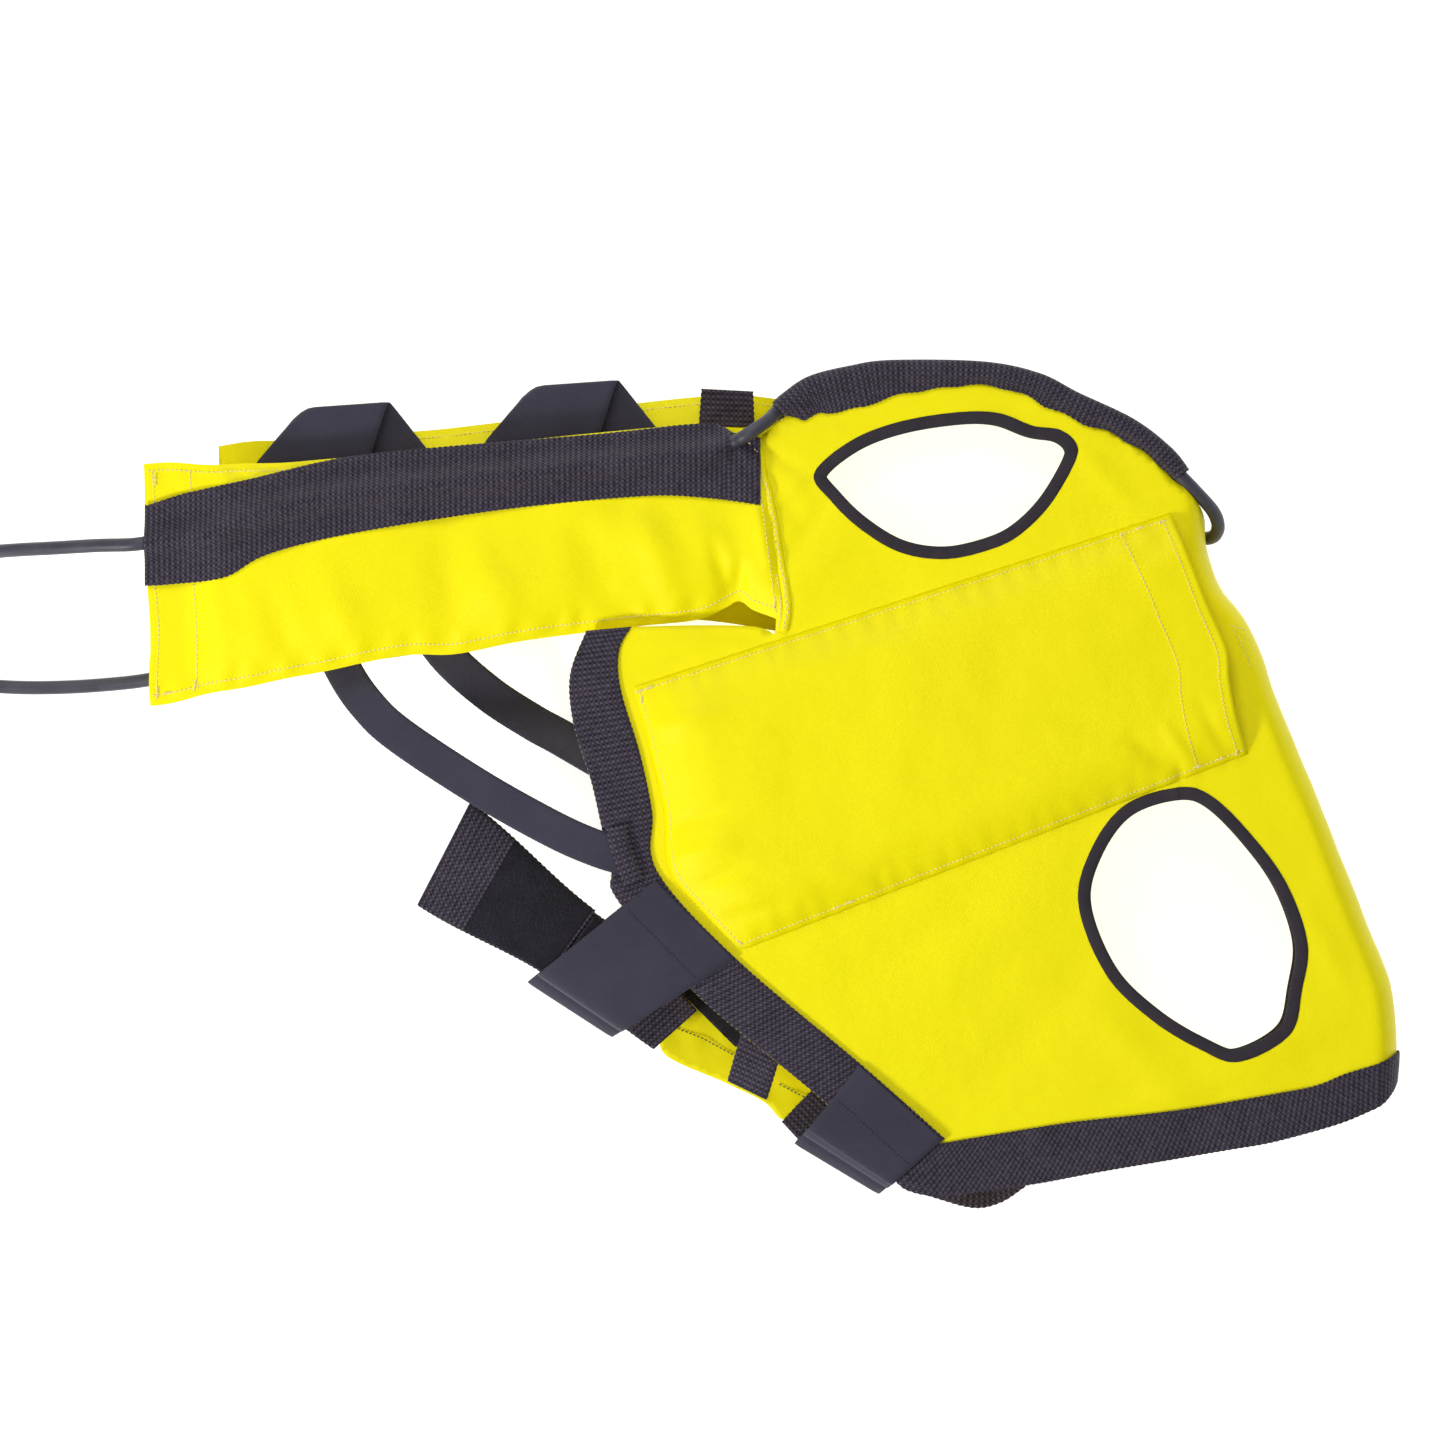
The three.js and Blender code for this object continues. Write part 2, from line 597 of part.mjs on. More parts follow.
const throatStartZ = stemFaceZ - 3;
const throatEndZ = jawLoopZ + 0.55;
const farThroatEndZ = TOTAL_HEIGHT - throatEndZ - 0.9;
add(
  "near_throat_strap",
  strap(
    [[-330, 122, throatStartZ], [-314, 84, throatStartZ + 1], [-272, 37, PANEL_Z - 18],
      [-214, 1, PANEL_Z - 7], [-155, -29, PANEL_Z + 3], [-128, -43, throatEndZ],
      [-108, -51, throatEndZ]],
    20, () => THROAT_STRAP_WIDTH, LOOP_BAND,
  ),
  ELASTIC,
);
add(
  "far_throat_strap",
  strap(
    [[-262, 128, TOTAL_HEIGHT - throatStartZ], [-239, 95, TOTAL_HEIGHT - throatStartZ - 1],
      [-208, 67, farThroatEndZ + 20.4],
      [-176, 46, farThroatEndZ + 5.4], [-156, 35, farThroatEndZ], [-120, 14, farThroatEndZ]],
    20, () => THROAT_STRAP_WIDTH, LOOP_BAND,
  ),
  ELASTIC,
);
add(
  "throat_strap_hook_tab",
  plate(
    [[-121, -34], [-104, -33], [-98, -64], [-113, -68]], [],
    throatEndZ + LOOP_BAND / 2 + LAYER_GAP, throatEndZ + LOOP_BAND / 2 + LAYER_GAP + 2.2,
  ),
  PILE,
);

// ---- closure strap and the pieces at the jaw -------------------------------------------

const strapRoot = [-146, -117];
const strapHeading = unit(-0.81, 0.59);
const strapAcross = [strapHeading[1], -strapHeading[0]];
const STRAP_Z = MIDDLE_Z - 1;

function tailPlate(from, to, low, high, trim) {
  return lattice(6, 4, (u, v, w) => {
    const reach = lerp(from, to, u);
    const wide = lerp(60, 80, smooth(reach, 0, STRAP_LENGTH)) - trim;
    const side = (v - 0.5) * wide;
    return [
      strapRoot[0] + strapHeading[0] * reach + strapAcross[0] * side,
      strapRoot[1] + strapHeading[1] * reach + strapAcross[1] * side,
      lerp(low, high, w),
    ];
  });
}

add("closure_strap_tail", tailPlate(1.6, STRAP_LENGTH, STRAP_Z - WEBBING, STRAP_Z, 0), WEB);
add("closure_strap_pile", tailPlate(2.6, STRAP_LENGTH - 44, STRAP_Z + 0.3, STRAP_Z + 2.3, 3), PILE);
add(
  "closure_strap_end_fold",
  tailPlate(STRAP_LENGTH - 43, STRAP_LENGTH, STRAP_Z + 0.3, STRAP_Z + 3, 0.5),
  WEB,
);
add(
  "closure_strap_held_part",
  strap([[-145.4, -117.4, -1], [-133, -126.4, -1], [-112, -144, -1], [-76, -184, -4]]
    .map((p) => [p[0], p[1], STRAP_Z + p[2]]), 9, () => 56, WEBBING),
  WEB,
);

const flapTop = TOTAL_HEIGHT - PANEL_Z + LAYER_GAP + FABRIC;
add(
  "far_jaw_flap",
  mirrored(plate(
    line([[-50, -146], [-72, -174], [-80, -196], [-33, -221], [-5, -234], [14, -248],
      [36, -236]], 16), [], PANEL_Z - LAYER_GAP - FABRIC, PANEL_Z - LAYER_GAP,
  )),
  YELLOW,
);
add(
  "closure_hook_strip",
  plate(
    [[-70, -150], [-52, -134], [-10, -180], [-26, -194]], [],
    flapTop + LAYER_GAP + 0.2, flapTop + LAYER_GAP + 2.2,
  ),
  PILE,
);
add(
  "jaw_belt_tab",
  plate(
    [[-28, -182], [2, -196], [-2, -228], [-14, -236], [-32, -220]], [], PANEL_Z - 4,
    PANEL_Z - 4 + WEBBING,
  ),
  WEB,
);
add(
  "far_stem_end_tab",
  plate(
    [[-52, 291], [-14, 288], [-13, 262], [-54, 262]], [], MIDDLE_Z - 5, MIDDLE_Z - 5 + WEBBING,
  ),
  WEB,
);

// ---- free leads, each ending in a coil and a plug --------------------------------------

const COIL_REACH = COIL_MEAN + COIL_WIDTH / 2;
const leads = {
  near: { coil: [COIL_EDGE_X - COIL_REACH, 171 + COIL_MEAN] },
  far: { coil: [COIL_EDGE_X - COIL_REACH, 71 - COIL_MEAN] },
};
const bounds = new THREE.Box3();
for (const mesh of object.children) bounds.expandByObject(mesh);
const floor = bounds.min.z;
const coilProfile = Array.from({ length: 10 }, (_, k) => {
  const a = (2 * Math.PI * k) / 10;
  return new THREE.Vector2(
    COIL_MEAN + (Math.cos(a) * COIL_WIDTH) / 2, (Math.sin(a) * COIL_HEIGHT) / 2,
  );
});
coilProfile.push(coilProfile[0].clone());

for (const [side, lead] of Object.entries(leads)) {
  const [first, second] = side === "near" ? routes.near : flip(routes.far);
  const back = v3(first).sub(v3(second)).setZ(0).normalize();
  const [near, further] = [CABLE_DIAMETER / 5, 14].map((d) => v3(first).addScaledVector(back, d).toArray());
  const [x, y, z] = first;
  const lie = floor + COIL_HEIGHT / 2 + 0.3;
  const edge = COIL_EDGE_X - 0.25 * COIL_REACH;
  const drop = side === "near"
    ? [[x - 34, y - 1.5, z - 10], [x - 68, y - 3, z - 30], [x - 96, y - 4, z - 52],
      [edge + 16, 172, lie], [edge, 172, lie]]
    : [[x - 50, y - 19, 8], [x - 95, y - 25, 5], [x - 145, y - 27, 5],
      [edge + 16, 71, lie], [edge, 71, lie]];
  add(`${side}_lead`, tube([near, further, ...drop], CABLE_DIAMETER, 16, 10), RUBBER);
  const coil = new THREE.LatheGeometry(coilProfile, 24);
  coil.rotateX(Math.PI / 2);
  coil.translate(lead.coil[0], lead.coil[1], lie);
  add(`${side}_lead_coil`, coil, RUBBER);
  const plug = new THREE.CylinderGeometry(9, 8, 46, 20);
  plug.rotateZ(Math.PI / 2);
  plug.translate(lead.coil[0], lead.coil[1], lie + 2);
  add(`${side}_lead_plug`, plug, PLASTIC);
}

// ---- the origin goes under the middle of the jacket ------------------------------------

const middle = bounds.getCenter(new THREE.Vector3());
for (const mesh of object.children) {
  mesh.geometry.translate(-middle.x, -middle.y, -floor);
}

export default object;
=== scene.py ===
"""Yellow two-sided life jacket lying on its far side, as Blender pieces."""
import math

import bpy
import numpy as np
from bpy.props import FloatProperty, FloatVectorProperty, PointerProperty
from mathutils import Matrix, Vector, geometry, noise
from mathutils.kdtree import KDTree


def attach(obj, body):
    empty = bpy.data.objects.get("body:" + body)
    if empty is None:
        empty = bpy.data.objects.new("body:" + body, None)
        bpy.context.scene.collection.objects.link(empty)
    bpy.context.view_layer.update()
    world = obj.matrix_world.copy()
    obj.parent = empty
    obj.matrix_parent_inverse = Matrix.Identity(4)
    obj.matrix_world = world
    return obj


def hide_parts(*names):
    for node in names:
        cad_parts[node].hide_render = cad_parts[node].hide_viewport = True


bl_info = {
    "name": "Life jacket",
    "version": (1, 0, 0),
    "blender": (4, 5, 0),
    "location": "3D View > Sidebar > Life jacket",
    "description": "Makes a padded two-sided life jacket with webbing, elastic and a cable",
    "category": "Object",
}

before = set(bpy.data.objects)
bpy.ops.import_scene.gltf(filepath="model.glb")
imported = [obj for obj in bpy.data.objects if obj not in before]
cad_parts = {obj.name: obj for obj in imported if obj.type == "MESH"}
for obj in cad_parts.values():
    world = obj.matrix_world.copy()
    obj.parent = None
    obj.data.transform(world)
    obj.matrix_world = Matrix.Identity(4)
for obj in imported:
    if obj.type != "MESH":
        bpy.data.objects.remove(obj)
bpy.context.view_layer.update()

MM = 0.001
SHIFT = np.array([0.354, 0.394, 1.873])   # from the outlines' own origin to the row's, mm
HEIGHT = 98.0                             # the far side mirrors the near side in this
PANEL_Z = 80.8                            # middle of the near fabric
LOOP_TOP = 85.6                           # the jaw loops on it


# ---- outlines, in millimetres ----------------------------------------------------------

CROWN_LINE = [(5, 274), (13, 281), (30, 292), (58, 299), (87, 303), (152, 302), (192, 294), (220, 280),
              (260, 261), (286, 241), (298, 226)]
CROWN_EDGE = [(10, 270), (33, 283), (60, 291), (88, 296), (151, 295), (189, 287), (216, 273),
              (256, 254), (281, 236), (291, 224)]
FOLD_EDGE = [(301, 190), (303, 165), (313, 138), (334, 111), (352, 64), (367, 25), (391, -30),
             (413, -89), (431, -133), (438, -155), (441, -184), (440, -222)]
HEM_EDGE = [(411, -247), (367, -259), (334, -265), (275, -275), (229, -283), (185, -291),
            (125, -299), (104, -296)]
JAW_OUTER = [(88, -286), (40, -233), (-54, -154), (-113, -84), (-118, -62), (-126, -25),
             (-133, 5), (-145, 43), (-148, 80), (-136, 113)]
JAW_INNER = [(126, -258), (65, -204), (-26, -127), (-84, -63), (-88, -19), (-97, 24),
             (-111, 71), (-112, 99), (-103, 116)]
SEAM_EDGE = [(-101, 116), (-55, 117), (-13, 116), (2, 110), (3, 137), (-1, 157), (-6, 191),
             (-10, 229), (-12, 252)]
SEAM_RIDGE = [(-12, 246), (-10.6, 236), (-2, 208), (2, 185), (5.5, 164), (9, 145), (10.6, 128),
              (8, 113)]
UPPER_HOLE = [(30, 228), (57, 252), (93, 266), (137, 273), (166, 272), (190, 263), (210, 260),
              (222, 250), (221, 236), (203, 205), (181, 183), (159, 172), (126, 165), (93, 170),
              (64, 187), (42, 208)]
LOWER_HOLE = [(297, -1), (323, -9), (356, -43), (378, -76), (391, -116), (387, -149),
              (378, -182), (341, -202), (312, -193), (276, -171), (243, -138), (223, -87),
              (232, -47), (257, -14)]
HEM_CORNER = [(478, -209), (470, -213), (460, -219), (448, -226), (434, -235)]
HEM_TOP = [(119, -262), (166, -254), (224, -245), (279, -239), (321, -233), (367, -225),
           (397, -219), (417, -211), (439.5, -204)]
HEM_BOTTOM = [(88, -287), (99, -296), (125, -299.5), (185, -292), (229, -284), (275, -276), (334, -266),
              (367, -260), (411, -248), (438, -237)]
POCKET_LEFT = [(-24, -121), (-52, -92), (-76, -62), (-80, -19), (-90, 24), (-103, 72)]
POCKET_RIGHT = [(347, 23), (338, 50), (333, 77), (331, 100), (318, 130), (305, 163), (290, 199)]
CORD_DIAMETER = 10.0
TOOTH_PITCH = 4.2                         # from tooth to tooth along a webbing's edge
CROWN_LAP = [(0, 0.03, 0.1, 0.2, 0.33, 0.45, 0.55, 0.65, 0.78, 0.9, 1),
             (5.5, 17, 23, 24, 16, 10, 10, 13, 10, 8.5, 6)]

# a stem's outline: its long edges run in x, its ends lie between them
STEMS = {
    "near": {
        "top": [(-462, 236), (-400, 235), (-345, 237), (-235, 247), (-126, 258), (-60, 263),
                (-3, 259)],
        "bottom": [(-462, 56), (-400, 69), (-330, 83), (-270, 95), (-232, 96), (-180, 106),
                   (-101, 116), (-55, 121), (-34, 130), (-24, 135), (-14, 128), (4, 121),
                   (14, 112)],
        "left": (-454, -460), "right": (10, -8),
    },
    "far": {
        "top": [(-410, 250), (-330, 256), (-252, 261), (-160, 272), (-89, 282), (-30, 287),
                (6, 284)],
        "bottom": [(-410, 73), (-252, 98), (-89, 122), (13, 112)],
        "left": (-400, -406), "right": (10, 4),
    },
}
CHANNELS = {
    "near": {
        "top": [(-456, 205), (-435, 212), (-418, 216), (-381, 224), (-312, 240), (-235, 248),
                (-126, 257), (-60, 264), (-38, 263), (-28, 257), (-18, 259), (-11, 254)],
        "bottom": [(-456, 146), (-440, 147), (-400, 152), (-370, 168), (-312, 183),
                   (-199, 201), (-97, 211), (-50, 210), (-5, 204)],
        "cable": [(-460, 177), (-409, 184), (-376, 197), (-312, 211), (-162, 229), (-97, 237),
                  (-56, 241), (-38, 246), (-22, 254), (-8, 262)],
        "ends": (-459.0, -9),
    },
    "far": {
        "top": [(-402, 124), (-350, 146), (-250, 208), (-150, 252), (-60, 274), (-8, 276)],
        "bottom": [(-402, 74), (-350, 100), (-250, 158), (-150, 202), (-60, 224), (-8, 226)],
        "cable": [(-402, 98), (-350, 122), (-250, 183), (-150, 228), (-60, 250), (-8, 255)],
        "ends": (-399.5, -14),
    },
}


# ---- lines and heights -----------------------------------------------------------------

def smooth_line(points, count, closed=False):
    """A smooth curve through points, as evenly spaced samples."""
    p = np.array(points, float)
    n = len(p)
    around = (lambda i: p[i % n]) if closed else (lambda i: p[min(max(i, 0), n - 1)])
    dense = []
    for i in range(n if closed else n - 1):
        a, b, c, d = (around(i + k) for k in (-1, 0, 1, 2))
        for t in np.arange(0, 1, 1 / 14):
            dense.append(0.5 * (2 * b + (c - a) * t + (2 * a - 5 * b + 4 * c - d) * t * t
                                + (3 * b - a - 3 * c + d) * t ** 3))
    dense.append(p[0] if closed else p[-1])
    dense = np.array(dense)
    run = run_along(dense)
    at = np.linspace(0, run[-1], count + 1 if closed else count)
    got = np.stack([np.interp(at, run, dense[:, k]) for k in range(p.shape[1])], axis=1)
    return got[:-1] if closed else got


def run_along(line):
    """Distance from a line's start to each of its points."""
    return np.concatenate([[0], np.cumsum(np.linalg.norm(np.diff(line, axis=0), axis=1))])


def level_normals(line, closed=False):
    """The unit left-hand normal of a line in the plane."""
    if closed:
        t = np.roll(line, -1, axis=0) - np.roll(line, 1, axis=0)
    else:
        t = np.gradient(line, axis=0)
    t = t[:, :2] / np.linalg.norm(t[:, :2], axis=1)[:, None]
    return np.stack([-t[:, 1], t[:, 0]], axis=1)


def inset(line, distance, steps=None):
    """A closed line moved inwards, kept smooth."""
    area = 0.5 * float(np.sum(line[:, 0] * np.roll(line[:, 1], -1)
                              - line[:, 1] * np.roll(line[:, 0], -1)))
    steps = steps or max(1, math.ceil(abs(distance)))
    ring = line.copy()
    for _ in range(steps):
        ring = ring + level_normals(ring, True) * math.copysign(distance / steps, distance * area)
        ring = ring * 0.8 + 0.1 * (np.roll(ring, 1, axis=0) + np.roll(ring, -1, axis=0))
    return ring


def inside(points, outline):
    """Which points lie inside a closed outline."""
    x, y = points[:, 0], points[:, 1]
    hit = np.zeros(len(points), bool)
    for (x0, y0), (x1, y1) in zip(outline, np.roll(outline, -1, axis=0)):
        crosses = (y0 > y) != (y1 > y)
        if crosses.any():
            hit ^= crosses & (x < (x1 - x0) * (y - y0) / ((y1 - y0) or 1e-9) + x0)
    return hit


def along_x(points):
    """A smooth line through points, as a function of x."""
    p = smooth_line(points, 120)
    order = np.argsort(p[:, 0])
    return lambda x: float(np.interp(x, p[order, 0], p[order, 1]))


def shoulder(d, wide):
    """0 at an edge, rounding up to 1 at wide from it."""
    return 1.0 if d >= wide else 1 - (1 - max(0.0, d) / wide) ** 2


def ease(t):
    """0 to 1, level at both ends."""
    t = min(1.0, max(0.0, t))
    return t * t * (3 - 2 * t)


def bell(d, wide):
    """1 at 0, falling off smoothly on both sides."""
    return math.exp(-(d / wide) ** 2)


def crease(x, y, marks):
    """Height from a list of creases: ends, width and height of each, tapering to its ends."""
    total = 0.0
    for x0, y0, x1, y1, wide, high in marks:
        dx, dy = x1 - x0, y1 - y0
        t = ((x - x0) * dx + (y - y0) * dy) / (dx * dx + dy * dy)
        off = math.hypot(x - x0 - t * dx, y - y0 - t * dy)
        if -0.2 < t < 1.2 and off < 3 * wide:
            total += high * bell(off, wide) * math.sin(math.pi * (t + 0.2) / 1.4)
    return total


def noise_at(a, b, c):
    """Smooth noise, from -1 to 1, that is the same in every run."""
    return noise.noise(Vector((a, b, c)))


def waves(x, y, seed, coarse, fine):
    """Soft waves at two sizes, in millimetres."""
    return (2.0 * noise_at(x / coarse, y / coarse, seed)
            + 0.6 * noise_at(x / fine, y / fine, seed + 5))


PANEL_CREASES = [
    (-12, 249, 26, 227, 4.0, -2.2), (-10, 252, 60, 262, 5.0, 1.5), (0, 226, 20, 190, 7, -1.4),
    (12, 150, 60, 175, 9, 1.4), (-90, 100, -20, 112, 5, 1.6), (-60, 112, 8, 108, 4, -1.5),
    (297, 16, 299, -2, 3.0, -1.6), (200, -60, 100, -170, 22, 1.6), (232, -160, 300, -228, 16, 1.4),
    (60, -140, 150, -90, 16, -1.2), (330, -205, 420, -170, 12, 1.3), (390, -90, 420, -150, 9, 1.2),
    (225, 245, 262, 205, 7, 1.3), (232, 200, 285, 215, 6, -1.2), (140, 286, 205, 268, 5, -0.9),
    (328, 138, 347, 116, 3.5, 2.2), (330, 118, 350, 114, 1.8, -1.6), (300, 190, 322, 140, 4, 1.2),
    (-2, 205, 24, 224, 4, 1.6), (14, 170, 40, 205, 6, -1.3), (60, 145, 150, 160, 9, -1.2),
    (240, -240, 330, -215, 7, 0.9), (160, -210, 240, -120, 16, -1.2), (280, 5, 310, -5, 3, 1.5),
]


def lie(x, y):
    """Height of the near fabric's middle over the panel."""
    return PANEL_Z + 0.8 * waves(x, y, 2.0, 90, 34) + 1.25 * crease(x, y, PANEL_CREASES)


# ---- making pieces ---------------------------------------------------------------------

FINISHES = {}


def settings():
    return bpy.context.scene.life_jacket


def new_piece(name, points, faces, finish, replaces=(), body="jacket", weave=None,
              thickness=0.0, slot=None):
    """A mesh piece from points in millimetres, riding on a body."""
    mesh = bpy.data.meshes.new(name)
    placed = (np.array(points, float) + SHIFT) * MM
    mesh.from_pydata([tuple(p) for p in placed], [], [tuple(int(i) for i in f) for f in faces])
    mesh.validate()
    if weave is not None:
        layer = mesh.uv_layers.new(name="weave")
        weave = np.array(weave, float) * MM
        for loop in mesh.loops:
            layer.data[loop.index].uv = weave[loop.vertex_index]
    mesh.polygons.foreach_set("use_smooth", [True] * len(mesh.polygons))
    obj = bpy.data.objects.new(name, mesh)
    bpy.context.scene.collection.objects.link(obj)
    if thickness:
        solid = obj.modifiers.new("thickness", "SOLIDIFY")
        solid.thickness = thickness * MM
        solid.offset = 0
        graph = bpy.context.evaluated_depsgraph_get()
        done = bpy.data.meshes.new_from_object(obj.evaluated_get(graph))
        obj.modifiers.clear()
        obj.data = done
    obj.data.materials.clear()
    obj.data.materials.append(FINISHES[finish])
    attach(obj, body)
    if replaces:
        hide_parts(*replaces)
    return obj


def mirror(points):
    """Points of the near side, turned over to the far side."""
    q = np.array(points, float)
    q[..., 2] = HEIGHT - q[..., 2]
    return q


def on_side(side, points, faces=()):
    """Points and faces as made for the near side, or turned over for the far side."""
    if side == "near":
        return points, faces
    return mirror(points), [face[::-1] for face in faces]


def grid_faces(rows, columns, wrap=False):
    """Faces between rows of points, joined round when wrapped."""
    faces = []
    for i in range(rows - 1):
        for j in range(columns if wrap else columns - 1):
            k = (j + 1) % columns
            faces.append((i * columns + j, i * columns + k, (i + 1) * columns + k, (i + 1) * columns + j))
    return faces


def tube_faces(rows, columns, flip=False):
    """Faces of a tube of rows, with both its ends filled."""
    faces = grid_faces(rows, columns, wrap=True)
    faces += [tuple(range(columns))[::-1], tuple((rows - 1) * columns + k for k in range(columns))]
    return [face[::-1] for face in faces] if flip else faces


def place_tree(points):
    """A tree that finds the nearest of some points in the plane."""
    tree = KDTree(len(points))
    for i, p in enumerate(points):
        tree.insert((p[0], p[1], 0), i)
    tree.balance()
    return tree


def cut_cloth(outline, holes, step):
    """Points and triangles that fill an outline evenly."""
    rings = [smooth_ring(r, step) for r in (outline, *holes)]
    edge = np.concatenate(rings)
    low, high = rings[0].min(0), rings[0].max(0)
    rows = np.arange(low[1], high[1], step * 0.87)
    grid = np.array([(x + (k % 2) * step / 2, y) for k, y in enumerate(rows)
                     for x in np.arange(low[0], high[0], step)])
    keep = inside(grid, rings[0])
    for ring in rings[1:]:
        keep &= ~inside(grid, ring)
    grid = grid[keep]
    tree = place_tree(edge)
    grid = np.array([p for p in grid if tree.find((p[0], p[1], 0))[2] > 0.55 * step])
    points = np.concatenate([edge, grid])
    edges, start = [], 0
    for ring in rings:
        n = len(ring)
        edges += [(start + i, start + (i + 1) % n) for i in range(n)]
        start += n
    got = geometry.delaunay_2d_cdt([Vector(p) for p in points], edges, [], 0, 1e-5)
    verts = np.array([tuple(v) for v in got[0]])
    faces = np.array([f for f in got[2] if len(f) == 3])
    middle = verts[faces].mean(axis=1)
    keep = inside(middle, rings[0])
    for ring in rings[1:]:
        keep &= ~inside(middle, ring)
    faces = faces[keep]
    used = np.unique(faces)
    index = -np.ones(len(verts), int)
    index[used] = np.arange(len(used))
    return verts[used], index[faces]


def smooth_ring(points, step):
    """A closed polyline resampled evenly, its corners kept as drawn."""
    p = np.array(points, float)
    closed = np.concatenate([p, p[:1]])
    run = run_along(closed)
    at = np.linspace(0, run[-1], max(8, int(run[-1] / step)) + 1)[:-1]
    return np.stack([np.interp(at, run, closed[:, k]) for k in range(2)], axis=1)


def stitches(name, lines, thread="cream", pitch=3.1, long=2.2, radius=0.42, slot=None):
    """Rows of sewn stitches that lie along lines in space."""
    points, faces = [], []
    for line in lines:
        line = np.array(line, float)
        run = run_along(line)
        for n, s in enumerate(np.arange(0.3, run[-1] - long, pitch)):
            a, b = (np.array([np.interp(d, run, line[:, k]) for k in range(3)])
                    for d in (s, s + long))
            way = (b - a) / (np.linalg.norm(b - a) or 1)
            side = np.cross(way, (0, 0, 1))
            side = side / (np.linalg.norm(side) or 1)
            up = np.cross(side, way)
            a = a + side * 0.12 * math.sin(n * 2.4)
            base = len(points)
            for t, r, h in ((0, 0.25, -0.2), (0.2, 1, 0.25), (0.8, 1, 0.25), (1, 0.25, -0.2)):
                c = a + (b - a) * t + up * (h * radius + 0.1)
                for k in range(5):
                    w = 2 * math.pi * k / 5
                    points.append(c + side * radius * r * math.cos(w) + up * radius * r * math.sin(w))
            faces += [tuple(base + i * 5 + j for j in f) for i in range(3)
                      for f in ((0, 1, 6, 5), (1, 2, 7, 6), (2, 3, 8, 7), (3, 4, 9, 8), (4, 0, 5, 9))]
            faces += [tuple(base + k for k in (4, 3, 2, 1, 0)), tuple(base + 15 + k for k in range(5))]
    return new_piece(name, points, faces, thread, slot=slot)


def backtack(x, y, z, angle, size=6.0):
    """A short zigzag of thread that locks the end of a seam."""
    c, s = math.cos(angle), math.sin(angle)
    got = []
    for k in range(9):
        u, v = (k / 8 - 0.5) * size, (1.1 if k % 2 else -1.1)
        got.append((x + u * c - v * s, y + u * s + v * c, z + 0.15 * (k % 3)))
    return got


def swept(name, line, section, finish, ups=None, **more):
    """A closed section, in (side, up) millimetres, swept along a line in space."""
    line = np.array(line, float)
    t = np.gradient(line, axis=0)
    t /= np.linalg.norm(t, axis=1)[:, None]
    up = np.tile((0.0, 0.0, 1.0), (len(line), 1)) if ups is None else np.array(ups, float)
    side = np.cross(t, up)
    side /= np.linalg.norm(side, axis=1)[:, None]
    up = np.cross(side, t)
    run = run_along(line)
    points, weave = [], []
    for i in range(len(line)):
        shape = np.array(section(i / (len(line) - 1)) if callable(section) else section, float)
        around = run_along(shape)
        points += list(line[i] + side[i] * shape[:, :1] + up[i] * shape[:, 1:])
        weave += [(run[i], a) for a in around]
    columns = len(shape)
    return new_piece(name, points, tube_faces(len(line), columns, flip=True), finish, weave=weave, **more)


def strip_piece(name, rows, finish="web", thick=1.6, serrate=0.28, stand=0.0, keep_side=False,
                **more):
    """Webbing from rows of points across its width, with a toothed edge."""
    rows = np.array(rows, float)
    n, m, _ = rows.shape
    run = run_along(rows[:, m // 2])
    across = np.linalg.norm(np.diff(rows, axis=1), axis=2)
    wide = np.concatenate([np.zeros((n, 1)), np.cumsum(across, axis=1)], axis=1)
    along = np.gradient(rows, axis=0)
    over = np.gradient(rows, axis=1)
    up = np.cross(over, along)
    up /= np.linalg.norm(up, axis=2)[:, :, None] + 1e-9
    if up[:, :, 2].mean() < 0 and not keep_side:
        up = -up
    rows = rows + up * stand
    tooth = np.cos(2 * np.pi * run / TOOTH_PITCH)
    edge = over / (np.linalg.norm(over, axis=2)[:, :, None] + 1e-9)
    rows[:, 0] -= edge[:, 0] * (serrate * tooth)[:, None]
    rows[:, -1] += edge[:, -1] * (serrate * tooth)[:, None]
    v = wide - wide[:, -1:] / 2
    top = rows + up * thick / 2
    low = rows - up * thick / 2
    top[:, (0, -1)] -= up[:, (0, -1)] * thick * 0.3
    low[:, (0, -1)] += up[:, (0, -1)] * thick * 0.3
    ring = np.concatenate([top, low[:, ::-1]], axis=1)
    mark = np.stack([np.repeat(run[:, None], m, 1), v], axis=2)
    weave = np.concatenate([mark, mark[:, ::-1]], axis=1).reshape(-1, 2)
    faces = tube_faces(n, 2 * m, flip=True)
    return new_piece(name, ring.reshape(-1, 3), faces, finish, weave=weave, **more)


def between(a, b, along, across, height):
    """Rows of points between two edge lines, with a height for each place."""
    a, b = smooth_line(a, along), smooth_line(b, along)
    rows = []
    for p, q in zip(a, b):
        row = []
        for t in np.linspace(0, 1, across):
            x, y = p[:2] + (q[:2] - p[:2]) * t
            row.append((x, y, height(x, y)))
        rows.append(row)
    return rows


# ---- finishes --------------------------------------------------------------------------

class Field:
    """A shader value that can be used in ordinary sums."""

    def __init__(self, board, socket):
        self.board, self.socket = board, socket

    def maths(self, operation, *values):
        return self.board.node("ShaderNodeMath", {"operation": operation}, values)

    def __add__(self, other):
        return self.maths("ADD", self, other)

    __radd__ = __add__

    def __sub__(self, other):
        return self.maths("SUBTRACT", self, other)

    def __rsub__(self, other):
        return self.maths("SUBTRACT", other, self)

    def __mul__(self, other):
        return self.maths("MULTIPLY", self, other)

    def sine(self):
        return self.maths("SINE", self)

    def sign(self):
        return self.maths("SIGN", self)

    def power(self, other):
        return self.maths("POWER", self, other)

    def clamped(self):
        return self.board.node("ShaderNodeClamp", {}, [self])


